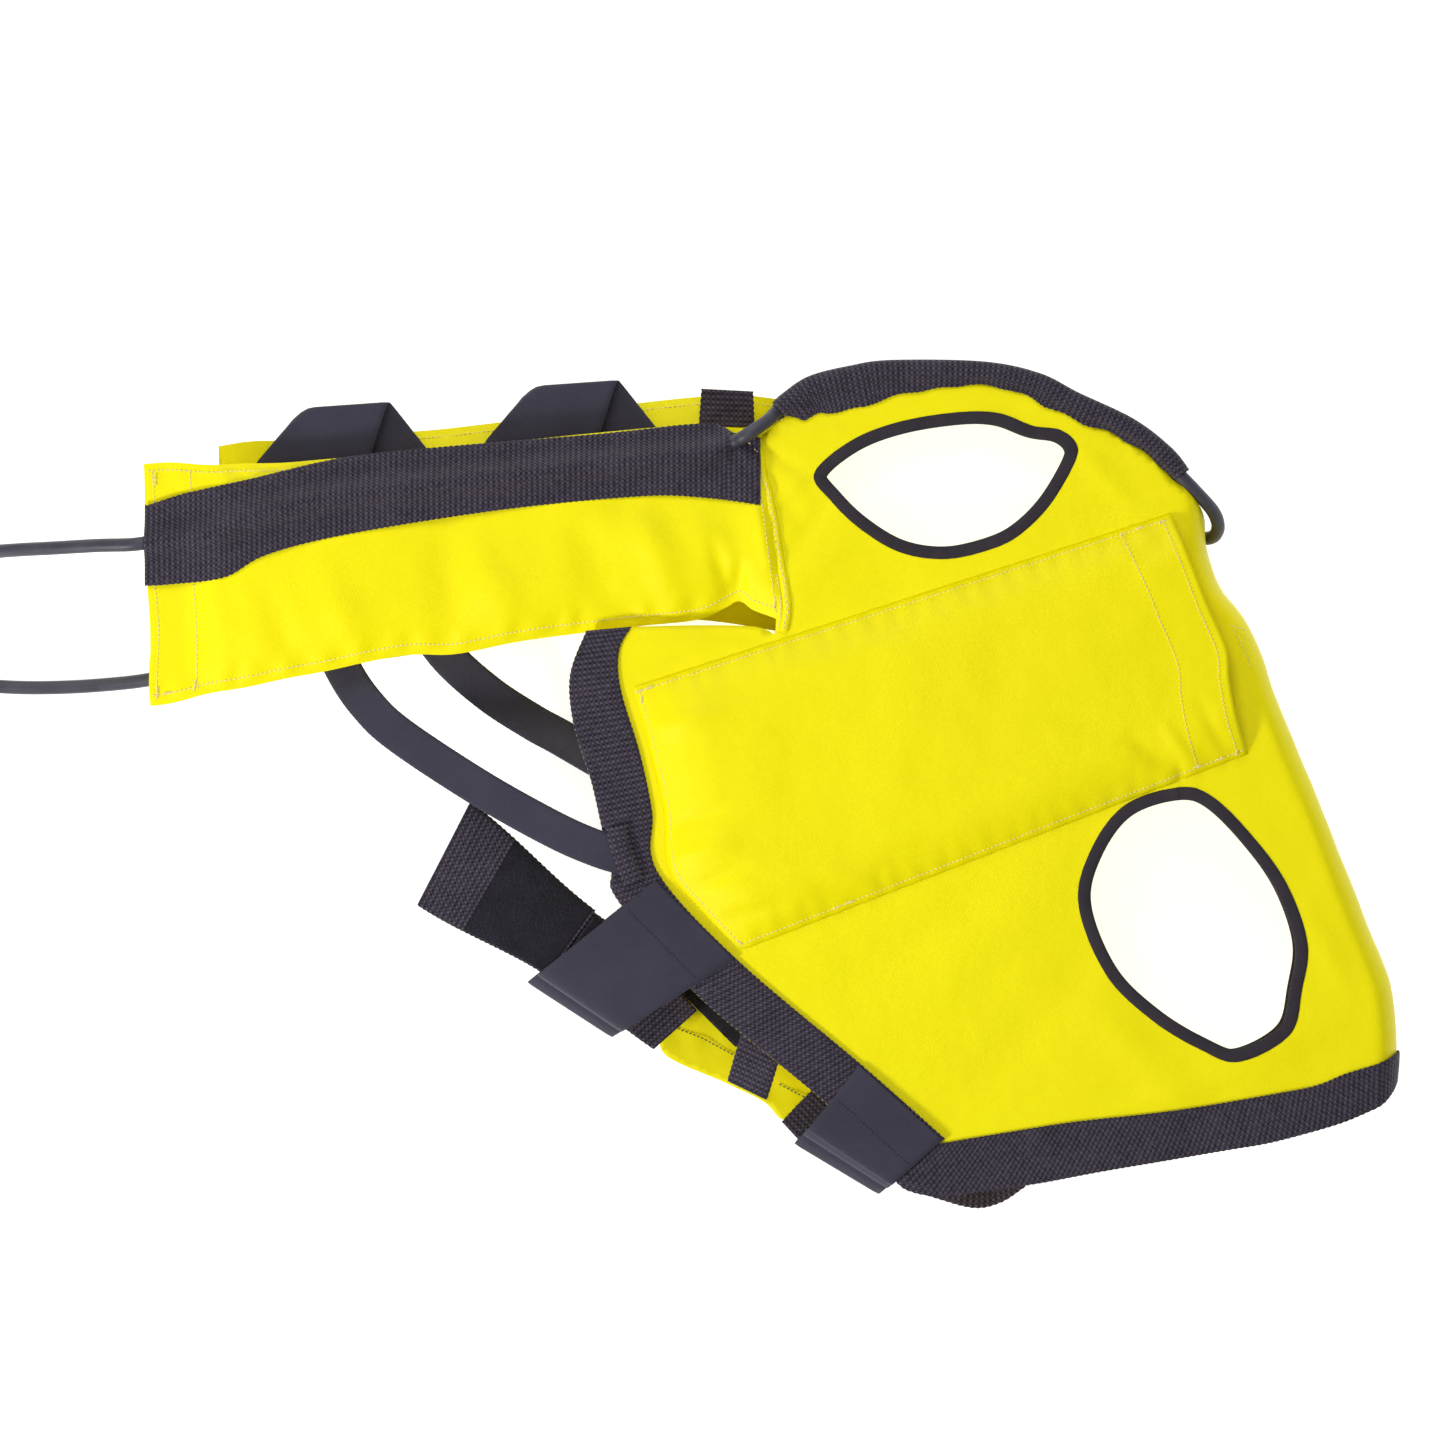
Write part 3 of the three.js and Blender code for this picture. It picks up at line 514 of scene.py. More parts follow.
class Board:
    """A material and its nodes."""

    def __init__(self, name, roughness, colour, **constants):
        self.material = bpy.data.materials.new(name)
        self.material.use_nodes = True
        self.tree = self.material.node_tree
        self.shader = self.tree.nodes["Principled BSDF"]
        self.shader.inputs["Base Color"].default_value = (*colour, 1)
        self.shader.inputs["Roughness"].default_value = roughness
        for key, value in constants.items():
            self.shader.inputs[key.replace("_", " ")].default_value = value
        self.material.diffuse_color = (*colour, 1)

    def node(self, kind, choices, values=(), named=None, out=0):
        """A node, with its choices set first and then its sockets."""
        made = self.tree.nodes.new(kind)
        for key, value in choices.items():
            setattr(made, key, value)
        for key, value in [*enumerate(values), *(named or {}).items()]:
            if isinstance(value, Field):
                self.tree.links.new(value.socket, made.inputs[key])
            else:
                made.inputs[key].default_value = value
        return Field(self, made.outputs[out])

    def split(self, vector):
        """The parts of a vector, each as a field."""
        first = self.node("ShaderNodeSeparateXYZ", {}, [vector])
        return [Field(self, socket) for socket in first.socket.node.outputs]

    def place(self):
        """Position on the object, in metres."""
        return self.node("ShaderNodeTexCoord", {}, out=3)

    def cloth_axes(self):
        """Distance along and across a strip, in metres."""
        return self.split(self.node("ShaderNodeUVMap", {"uv_map": "weave"}))[:2]

    def cloud(self, scale, detail=3.0, rough=0.55):
        return self.node("ShaderNodeTexNoise", {}, [], {
            "Vector": self.place(), "Scale": scale, "Detail": detail, "Roughness": rough})

    def blend(self, share, first, second):
        """A colour between two, by a share from 0 to 1."""
        return self.node("ShaderNodeMix", {"data_type": "RGBA"}, (),
                         {0: share, 6: (*first, 1), 7: (*second, 1)}, out=2)

    def bump(self, height, strength, distance):
        relief = self.node("ShaderNodeBump", {}, [], {
            "Height": height, "Strength": strength, "Distance": distance})
        self.feed("Normal", relief)

    def feed(self, socket, value):
        self.tree.links.new(value.socket, self.shader.inputs[socket])


def coated_cloth(name, colour, shade):
    board = Board(name, 0.5, colour, Specular_IOR_Level=0.14)
    x, y, z = board.split(board.place())
    u, v = x * 0.96 + y * 0.28 + z * 0.4, y * 0.96 - x * 0.28 + z * 0.5
    pitch = math.pi / 0.0009
    weave = (u * pitch).sine() * (v * pitch).sine()
    # broad noise patches that place the painted shade colour and also vary the roughness
    painted_shade_patches = board.cloud(9.0)
    grain = board.cloud(420.0, 2.0)
    crinkle = board.cloud(24.0, 4.0, 0.5)
    # the cloth's shade colour is painted shade: a darker, more orange copy mixed in by the patches, grain and
    # weave
    board.feed("Base Color", board.blend(
        (painted_shade_patches * 0.55 + grain * 0.35 + weave * 0.12 - 0.05).clamped(), shade, colour))
    board.feed("Roughness", 0.34 + painted_shade_patches * 0.14 + grain * 0.10 - weave * 0.05)
    board.bump(weave * 0.5 + grain * 0.5 + crinkle * 16, 0.6, 0.0002)
    return board.material


def webbing_cloth(name, colour, light):
    board = Board(name, 0.8, colour, Sheen_Weight=0.1, Sheen_Roughness=0.5,
                  Specular_IOR_Level=0.22)
    along, across = board.cloth_axes()
    a, b = 2 * math.pi / 0.0040, 2 * math.pi / 0.0034
    row = (along * a).sine()
    check = row * 0.55 + (across * b + row.sign() * 1.57).sine() * 0.6
    thread = (across * (b * 3)).sine() * 0.5 + (along * (a * 4)).sine() * 0.3
    worn, speck = board.cloud(38.0), board.cloud(330.0, 2.0, 0.7)
    # the raised threads get the lighter colour as a painted highlight, and the hollows keep the dark colour
    # as painted shade
    raised = (check * 0.5 + 0.5).clamped().power(1.5)
    board.feed("Base Color", board.blend(
        (raised * 0.7 + thread * 0.1 + worn * 0.3 + speck * 0.9 - 0.58).clamped(), colour, light))
    board.feed("Roughness", 0.9 - raised * 0.22)
    board.bump(check * 0.8 + thread * 0.2, 0.7, 0.0006)
    return board.material


def elastic_cloth(name, colour, light):
    board = Board(name, 0.7, colour, Sheen_Weight=0.12, Sheen_Roughness=0.45,
                  Specular_IOR_Level=0.25)
    along, across = board.cloth_axes()
    ribs = (across * (math.pi / 0.00055)).sine()
    picks = (along * (math.pi / 0.0008)).sine()
    patch = board.cloud(26.0)
    board.feed("Base Color", board.blend(
        (ribs * 0.18 + picks * 0.12 + patch * 0.8).clamped(), colour, light))
    board.feed("Roughness", 0.62 + patch * 0.2)
    board.bump(ribs * 0.6 + picks * 0.3, 0.5, 0.0003)
    return board.material


def tape_cloth(name, colour, light):
    board = Board(name, 0.8, colour, Sheen_Weight=0.08, Specular_IOR_Level=0.22)
    along, _ = board.cloth_axes()
    ribs = (along * (math.pi / 0.0007)).sine()
    patch = board.cloud(45.0)
    board.feed("Base Color", board.blend((ribs * 0.25 + patch * 0.8).clamped(), colour, light))
    board.feed("Roughness", 0.72 + patch * 0.15)
    board.bump(ribs, 0.4, 0.0003)
    return board.material


def pile_cloth(name, colour, light):
    board = Board(name, 0.95, colour, Sheen_Weight=0.2, Sheen_Roughness=0.6,
                  Specular_IOR_Level=0.15)
    tuft = board.cloud(900.0, 3.0, 0.7)
    nap = board.cloud(70.0, 3.0)
    board.feed("Base Color", board.blend((tuft * 2.4 + nap * 0.9 - 1.4).clamped(), colour, light))
    board.feed("Roughness", 0.86 + tuft * 0.12)
    board.bump(tuft + nap * 0.4, 0.9, 0.0012)
    return board.material


def rubber_sheath(name, colour, light):
    board = Board(name, 0.5, colour, Specular_IOR_Level=0.5)
    dust = board.cloud(60.0, 4.0)
    fine = board.cloud(600.0, 2.0)
    board.feed("Base Color", board.blend((dust * 1.2 - 0.25).clamped(), colour, light))
    board.feed("Roughness", 0.38 + dust * 0.22)
    board.bump(fine + dust * 0.5, 0.25, 0.0003)
    return board.material


def thread_yarn(name, colour, light):
    board = Board(name, 0.6, colour, Sheen_Weight=0.2)
    twist = board.cloud(900.0, 2.0)
    board.feed("Base Color", board.blend((twist * 1.4 - 0.2).clamped(), colour, light))
    board.feed("Roughness", 0.5 + twist * 0.25)
    board.bump(twist, 0.4, 0.0003)
    return board.material


def make_finishes():
    s = settings()
    FINISHES.update(
        # the yellow cloth's second colour is painted shade
        yellow=coated_cloth("coated_yellow_cloth", tuple(s.cloth_colour), tuple(s.cloth_painted_shade)),
        # the webbing's lighter second colour is a painted highlight on its raised threads
        web=webbing_cloth("webbing", tuple(s.webbing_colour), (0.112, 0.090, 0.132)),
        elastic=elastic_cloth("elastic", (0.026, 0.024, 0.040), (0.062, 0.056, 0.088)),
        tape=tape_cloth("binding_tape", (0.018, 0.014, 0.019), (0.055, 0.044, 0.056)),
        pile=pile_cloth("pile", (0.002, 0.001, 0.005), (0.026, 0.021, 0.042)),
        rubber=rubber_sheath("cable_sheath", (0.026, 0.025, 0.038), (0.080, 0.077, 0.108)),
        plug=rubber_sheath("moulded_plug", (0.018, 0.018, 0.02), (0.04, 0.04, 0.044)),
        cream=thread_yarn("cream_thread", (0.80, 0.66, 0.20), (0.97, 0.88, 0.50)),
        dark=thread_yarn("dark_thread", (0.012, 0.010, 0.014), (0.05, 0.045, 0.055)),
        foam=thread_yarn("cut_foam", (0.70, 0.68, 0.58), (0.84, 0.82, 0.72)),
    )


# ---- settings --------------------------------------------------------------------------

class JacketSettings(bpy.types.PropertyGroup):
    cloth_colour: FloatVectorProperty(
        name="Cloth", description="Colour of the coated cloth", subtype="COLOR",
        default=(0.96, 0.89, 0.0), min=0, max=1)
    # the cloth's shade colour is painted shade, a darker and more orange copy of the cloth colour for its
    # shaded hollows and side
    cloth_painted_shade: FloatVectorProperty(
        name="Cloth shade", description="The cloth's deeper tone in its weave", subtype="COLOR",
        default=(0.92, 0.79, 0.0), min=0, max=1)
    # the webbing's dark colour in its hollows is painted shade; its raised threads get a lighter painted
    # highlight colour
    webbing_colour: FloatVectorProperty(
        name="Webbing", description="Colour in the webbing's hollows", subtype="COLOR",
        default=(0.014, 0.011, 0.018), min=0, max=1)
    cloth_thickness: FloatProperty(
        name="Cloth thickness", description="Thickness of one layer of coated cloth",
        default=0.0012, min=0.0005, max=0.003, unit="LENGTH")
    pocket_rise: FloatProperty(
        name="Pocket fill", description="How far a filled pocket stands off the panel",
        default=0.0148, min=0.004, max=0.02, unit="LENGTH")
    stitch_pitch: FloatProperty(
        name="Stitch pitch", description="Distance from stitch to stitch",
        default=0.0034, min=0.002, max=0.006, unit="LENGTH")


# ---- the stage -------------------------------------------------------------------------

CAMERA_PLACE = (-0.0362, 0.0464, 7.0)     # all in metres
VIEW_LEVEL = 0.084                        # height at which the view is VIEW_WIDTH wide
VIEW_WIDTH = 1.0549
FLOOR_REACH = 4.0
LIGHTS = (("key", (-1.9, -1.5, 1.5), 0.5, 48), ("fill", (-0.3, 1.9, 1.6), 1.2, 20),
          ("top", (-0.4, -0.2, 3.2), 1.8, 13))   # name, place, size, watts


class MakeStage(bpy.types.Operator):
    """Sets the camera, the lights and the pale floor"""
    bl_idname = "life_jacket.stage"
    bl_label = "Stage"

    def execute(self, context):
        scene = context.scene
        scene.view_settings.view_transform = "Standard"
        data = bpy.data.cameras.new("camera")
        camera = bpy.data.objects.new("camera", data)
        scene.collection.objects.link(camera)
        data.sensor_width = 36
        data.lens = 36 * (CAMERA_PLACE[2] - VIEW_LEVEL) / VIEW_WIDTH
        data.clip_end = 20
        camera.location = CAMERA_PLACE
        scene.camera = camera
        floor = bpy.data.meshes.new("floor")
        corners = ((-1, -1), (1, -1), (1, 1), (-1, 1))
        floor.from_pydata([(x * FLOOR_REACH, y * FLOOR_REACH, -0.001) for x, y in corners],
                          [], [(0, 1, 2, 3)])
        ground = bpy.data.objects.new("floor", floor)
        scene.collection.objects.link(ground)
        paint = bpy.data.materials.new("floor_paint")
        paint.use_nodes = True
        for key, value in (("Base Color", (0.6, 0.6, 0.6, 1)), ("Emission Color", (1, 1, 1, 1)),
                           ("Emission Strength", 0.8), ("Roughness", 0.9)):
            paint.node_tree.nodes["Principled BSDF"].inputs[key].default_value = value
        floor.materials.append(paint)
        world = bpy.data.worlds.new("studio")
        world.use_nodes = True
        sky = world.node_tree.nodes["Background"].inputs
        sky["Color"].default_value = (1, 1, 1, 1)
        sky["Strength"].default_value = 0.38
        scene.world = world
        for name, spot, size, power in LIGHTS:
            light = bpy.data.lights.new(name, "AREA")
            light.size, light.energy = size, power
            lamp = bpy.data.objects.new(name, light)
            lamp.location = spot
            lamp.rotation_mode = "QUATERNION"
            lamp.rotation_quaternion = (-Vector(spot)).to_track_quat("-Z", "Y")
            scene.collection.objects.link(lamp)
        return {"FINISHED"}


# ---- the cable and its leads -----------------------------------------------------------

STEM_Z = 70.0                             # middle of the near stem
STEM_EDGE = 1.7                           # its half thickness at the edges


def stem_shape(side):
    """A stem's edges and ends, and a function for its middle height and half thickness."""
    stem = STEMS[side]
    top, bottom = along_x(stem["top"]), along_x(stem["bottom"])
    left, right = stem["left"], stem["right"]

    def body(x, y):
        wide = top(x) - bottom(x)
        v = min(1.0, max(0.0, (y - bottom(x)) / wide))
        start = left[0] + (left[1] - left[0]) * v
        end = right[0] + (right[1] - right[0]) * v
        swell = (shoulder(min(v, 1 - v) * wide, 44) * shoulder(x - start - 26, 74)
                 * shoulder(end - x, 34))
        t = (x - end + 34) / 34
        middle = STEM_Z + (PANEL_Z - STEM_Z) * ease(t)
        return middle, STEM_EDGE + 12.2 * swell
    return top, bottom, left, right, body


def cable_route(side):
    """Points of the cable under a stem's channel webbing."""
    body = stem_shape(side)[4]
    channel = CHANNELS[side]
    cable = along_x(channel["cable"])
    a, b = channel["ends"]
    got = []
    for x in np.linspace(a - 1, b + 2, 22):
        at, half = body(max(x, a), cable(x))
        got.append((x, cable(x), at + half + 5.9))
    return np.array(got)


def round_section(radius, count=14):
    return [(radius * math.cos(2 * math.pi * k / count), radius * math.sin(2 * math.pi * k / count))
            for k in range(count)]


def tube_piece(name, line, radius, finish, **more):
    """A round tube along a line, its frame carried smoothly from end to end."""
    line = np.array(line, float)
    t = np.gradient(line, axis=0)
    t /= np.linalg.norm(t, axis=1)[:, None]
    up = np.array([0.0, 0.0, 1.0]) - t[0] * t[0][2]
    ups = []
    for way in t:
        up = up - way * float(up @ way)
        up /= np.linalg.norm(up)
        ups.append(up.copy())
    return swept(name, line, round_section(radius), finish, ups=ups, **more)


class MakeCable(bpy.types.Operator):
    """Makes the cable that the jacket holds, from stem to stem round the crown"""
    bl_idname = "life_jacket.cable"
    bl_label = "Held cable"

    def execute(self, context):
        crown = [(x, y, PANEL_Z) for x, y in smooth_line(CROWN_LINE, 9)]
        bend = [(311, 213, 74), (323, 200, 62), (327, 189, 49), (323, 182, 36), (313, 184, 24),
                (304, 202, 18)]
        near = [tuple(p) for p in cable_route("near")]
        far = [(x, y, HEIGHT - z) for x, y, z in cable_route("far")]
        route = [p for p in near if p[0] < -24]
        route += [(-20, 255, 94.2), (-10, 261.5, 92), (-2, 267.5, 86.5)] + crown + bend
        route += [(x, y, HEIGHT - z) for x, y, z in reversed(crown)]
        route += [(4, 274, HEIGHT - 86), (-3, 264, HEIGHT - 91)] + far[::-1]
        line = smooth_line(route, 420)
        tube_piece("held_cord", line, CORD_DIAMETER / 2, "rubber", replaces=("held_cable",))
        return {"FINISHED"}


COIL_CENTRE = {"near": (-652.0, 226.0), "far": (-652.0, 16.0)}
COIL_TURNS = 2.6
COIL_RADIUS = 63.0
COIL_DRAW = 10.4                          # how far each turn draws in
PLUG_SHAPE = [(-3, 5.3), (0, 5.6), (2, 6.2), (8, 7.2), (10, 6.4), (14, 6.6), (15, 8.4), (30, 8.4),
              (31, 7.4), (36, 7.4), (38, 8.6), (40, 8.6), (42, 7.6)]   # along, radius


def lead_route(side):
    """A free lead from the stem's open end, down to the floor and into its coil."""
    first = cable_route(side)
    if side == "far":
        first = mirror(first)
    back = (first[0] - first[1]) * (1, 1, 0)
    back /= np.linalg.norm(back)
    x, y, z = first[0]
    cx, cy = COIL_CENTRE[side]
    low = -SHIFT[2] + CORD_DIAMETER / 2 + 0.4
    start = [tuple(first[0] + back * d) for d in (-3, 10)]
    turn = []
    sign = 1 if side == "near" else -1
    for k in range(int(COIL_TURNS * 20) + 1):
        wound = k / 20
        angle = -sign * math.pi * (0.5 + 2 * wound)
        inwards = COIL_RADIUS - COIL_DRAW * wound
        on_top = COIL_RADIUS - COIL_DRAW / 2 - COIL_DRAW * (wound - 2)
        r = inwards + (on_top - inwards) * ease((wound - 1.25) / 0.7)
        lift = 10.3 * ease((wound - 1.15) / 0.4) + 4 * ease((wound - 2.2) / 0.4)   # over itself
        turn.append((cx + r * math.cos(angle), cy + r * math.sin(angle), low + lift))
    if side == "near":
        drop = [(x - 34, y - 1.5, z - 10), (x - 68, y - 3, z - 30), (x - 96, y - 4, z - 52),
                (-577, 171.5, low + 4), (-606, 166.8, low), (-628, 163.8, low)]
    else:
        drop = [(x - 50, y - 19, 8), (x - 95, y - 25, low), (x - 145, y - 27, low),
                (-590, 74.0, low), (-626, 78.2, low)]
    return start, drop, turn, low


class MakeLeads(bpy.types.Operator):
    """Makes the free lead at each stem's end, wound into a coil with its plug"""
    bl_idname = "life_jacket.leads"
    bl_label = "Leads"

    def execute(self, context):
        for side in ("near", "far"):
            start, drop, turn, low = lead_route(side)
            line = smooth_line(start + drop + turn, 260)
            line[:, 2] = np.maximum(line[:, 2], low)
            curve = tube_piece(f"{side}_free_lead", line, CORD_DIAMETER / 2, "rubber",
                               replaces=(f"{side}_lead", f"{side}_lead_coil"))
            tip, before = line[-1], line[-4]
            way = (tip - before) / np.linalg.norm(tip - before)
            plug = swept(f"{side}_lead_plug_body", [tip + way * d for d, _ in PLUG_SHAPE],
                         plug_section, "plug", replaces=(f"{side}_lead_plug",))
        return {"FINISHED"}


def plug_section(t):
    """The plug's ring at share t of its steps."""
    return round_section(PLUG_SHAPE[round(t * (len(PLUG_SHAPE) - 1))][1], 20)


# ---- body cloth ------------------------------------------------------------------------

def body_outline(grow):
    """The near panel's outline, let out past the fold line by grow."""
    fold = smooth_line(FOLD_EDGE, 60)
    out = fold + level_normals(fold) * grow
    out = out[out[:, 1] > -205]
    return np.concatenate([
        smooth_line(CROWN_EDGE, 60), out, HEM_CORNER, smooth_line(HEM_EDGE, 50),
        smooth_line(JAW_OUTER, 60), smooth_line(SEAM_EDGE[:4], 20), smooth_line(SEAM_EDGE[4:], 20)])


FOLD_BULGE = 16.0
FOLD_ARC = math.pi / 2 * math.sqrt((FOLD_BULGE ** 2 + (PANEL_Z - HEIGHT / 2) ** 2) / 2)


def fold_wrap(points):
    """Bends cloth past the fold line round the jacket's side, down to half height."""
    fold = smooth_line(FOLD_EDGE, 160)
    normal = level_normals(fold)
    tree = place_tree(fold)
    out = []
    for x, y in points:
        _, i, _ = tree.find((x, y, 0))
        off = float((np.array((x, y)) - fold[i]) @ normal[i])
        if off <= 0:
            out.append((x, y, lie(x, y)))
            continue
        base = np.array((x, y)) - normal[i] * off
        angle = min(math.pi / 2, off / FOLD_ARC * math.pi / 2)
        ripple = 1.2 * noise_at(base[0] / 34, base[1] / 34, 4.0)
        q = base + normal[i] * (FOLD_BULGE + ripple) * math.sin(angle)
        z = HEIGHT / 2 + (lie(*base) - HEIGHT / 2) * math.cos(angle)
        out.append((q[0], q[1], z))
    return np.array(out)


class MakeBody(bpy.types.Operator):
    """Makes the yellow body: both side panels and the fold between them, from one cloth"""
    bl_idname = "life_jacket.body"
    bl_label = "Body cloth"

    def execute(self, context):
        thick = settings().cloth_thickness / MM
        holes = [inset(smooth_line(h, 90, True), 5.0) for h in (UPPER_HOLE, LOWER_HOLE)]
        flat, faces = cut_cloth(body_outline(FOLD_ARC), holes, 5.2)
        near = fold_wrap(flat)
        far = mirror(near)
        count = len(near)
        points = np.concatenate([near, far])
        tris = np.concatenate([faces, faces[:, ::-1] + count])
        body = new_piece("body_cloth", points, tris, "yellow",
                         replaces=("near_side_panel", "far_side_panel", "side_fold_panel"),
                         thickness=thick)
        size = (flat[:, 0].max() - flat[:, 0].min()) * 2 * MM, (flat[:, 1].max() - flat[:, 1].min()) * MM
        flap = cut_cloth(smooth_line([(-50, -146), (-72, -174), (-81, -197), (-33, -220), (-5, -234),
                                      (8, -247), (24, -234), (36, -221)], 60, True), [], 4.0)
        z = [(x, y, 20.0 + 1.6 * noise_at(x / 18, y / 18, 3)) for x, y in flap[0]]
        new_piece("jaw_flap", z, flap[1], "yellow", replaces=("far_jaw_flap",), thickness=thick)
        stitches("jaw_flap_stitching", [[(-76, -177, 21.6), (-52, -186, 21.8), (-28, -199, 21.6)],
                                        [(5, -220, 21.6), (20, -228, 21.7), (35, -234, 21.6)]],
                 "dark", radius=0.5)
        edge = between([(7, -248), (20, -234), (35, -219)], [(20, -262), (36, -248), (52, -234)], 40, 12,
                       lambda x, y: 21.4)
        strip_piece("jaw_flap_webbing", edge)
        self.seam()
        return {"FINISHED"}

    def seam(self):
        """The rolled ridge where the near stem is sewn to the panel."""
        line = smooth_line([(x, y, PANEL_Z + 1.9) for x, y in SEAM_RIDGE], 110)
        for i, p in enumerate(line):
            line[i, 2] += 0.5 * noise_at(p[1] / 9, 0, 3)
            line[i, 0] += 0.8 * noise_at(p[1] / 14, 2, 3)
        roll = [(3.3 * x, 2.0 * y) for x, y in round_section(1, 12)]
        for side in ("near", "far"):
            way = line if side == "near" else mirror(line)
            swept(f"{side}_seam_ridge", way, roll, "yellow")
            top = way + (0, 0, 2.1 if side == "near" else -2.1)
            zigzag = [tuple(p + ((1.7 if i % 2 else -1.7), 0, -0.3)) for i, p in enumerate(top[::2])]
            beside = [tuple(p + (-4.6, 0, -0.9)) for p in top]
            stitches(f"{side}_seam_stitching", [zigzag, beside], pitch=2.6, long=2.1)
        edge = [(336, 114, 80.9), (342, 104, 81.0), (347, 93, 81.0), (350, 84, 80.8)]
        tuck = [(334, 117, 81.6), (341, 115, 81.4), (347, 113, 80.4)]
        stitches("fold_stitching", [edge, tuck])


# ---- pockets ---------------------------------------------------------------------------

POCKET_CREASES = [
    (-72, -30, -36, -18, 6.0, -2.6), (-70, -52, -30, -44, 7.0, 2.4), (-60, -76, -22, -58, 5.0, -2.0),
    (-96, 40, -40, 52, 8.0, 2.0), (-40, -100, 10, -84, 6.0, -1.8), (262, 34, 300, 8, 7.0, -2.4),
    (285, 44, 306, 14, 5.0, 2.0), (40, -62, 76, -78, 8, 1.5), (250, 150, 300, 190, 9, -1.6),
    (312, 60, 330, 25, 5, -1.8), (-30, 66, 60, 84, 9, -1.2), (200, 40, 255, 20, 12, 1.5),
]


POCKET_WIDE = 198.0                       # from seam to seam
POCKET_LONG = 400.0


def pocket_frame():
    """The two ends of the pocket, as lines from its low seam to its high one."""
    left = smooth_line(POCKET_LEFT, 60)
    right = smooth_line(POCKET_RIGHT, 60)
    return left, right


def pocket_place(u, v, left, right):
    """The place at share u along the pocket and v up it."""
    k = v * (len(left) - 1)
    i = min(len(left) - 2, int(k))
    f = k - i
    a, b = left[i] * (1 - f) + left[i + 1] * f, right[i] * (1 - f) + right[i + 1] * f
    return a + (b - a) * u


def pocket_rise(u, v, x, y):
    """How far the pocket's cloth stands off the panel."""
    high = settings().pocket_rise / MM
    from_side = min(v, 1 - v)
    edge = (shoulder(v * POCKET_WIDE, 40) * shoulder((1 - v) * POCKET_WIDE, 40)
            * shoulder(u * POCKET_LONG, 44))
    near_edge = 1 - min(1.0, from_side * POCKET_WIDE / 26)
    drift = 2.0 * noise_at(x / 30, y / 30, 9)
    pucker = near_edge * 0.55 * math.sin((x * 0.95 + y * 0.31) / 2.9 + drift) * min(1.0, from_side * 90)
    soft = waves(x, y, 11.0, 80, 30) * 0.9 * edge
    mouth = 1 - 0.1 * max(0.0, (u - 0.86) / 0.14) ** 2
    return (high - 0.6) * edge * mouth + pucker + soft + crease(x, y, POCKET_CREASES) * min(1, edge * 1.6)


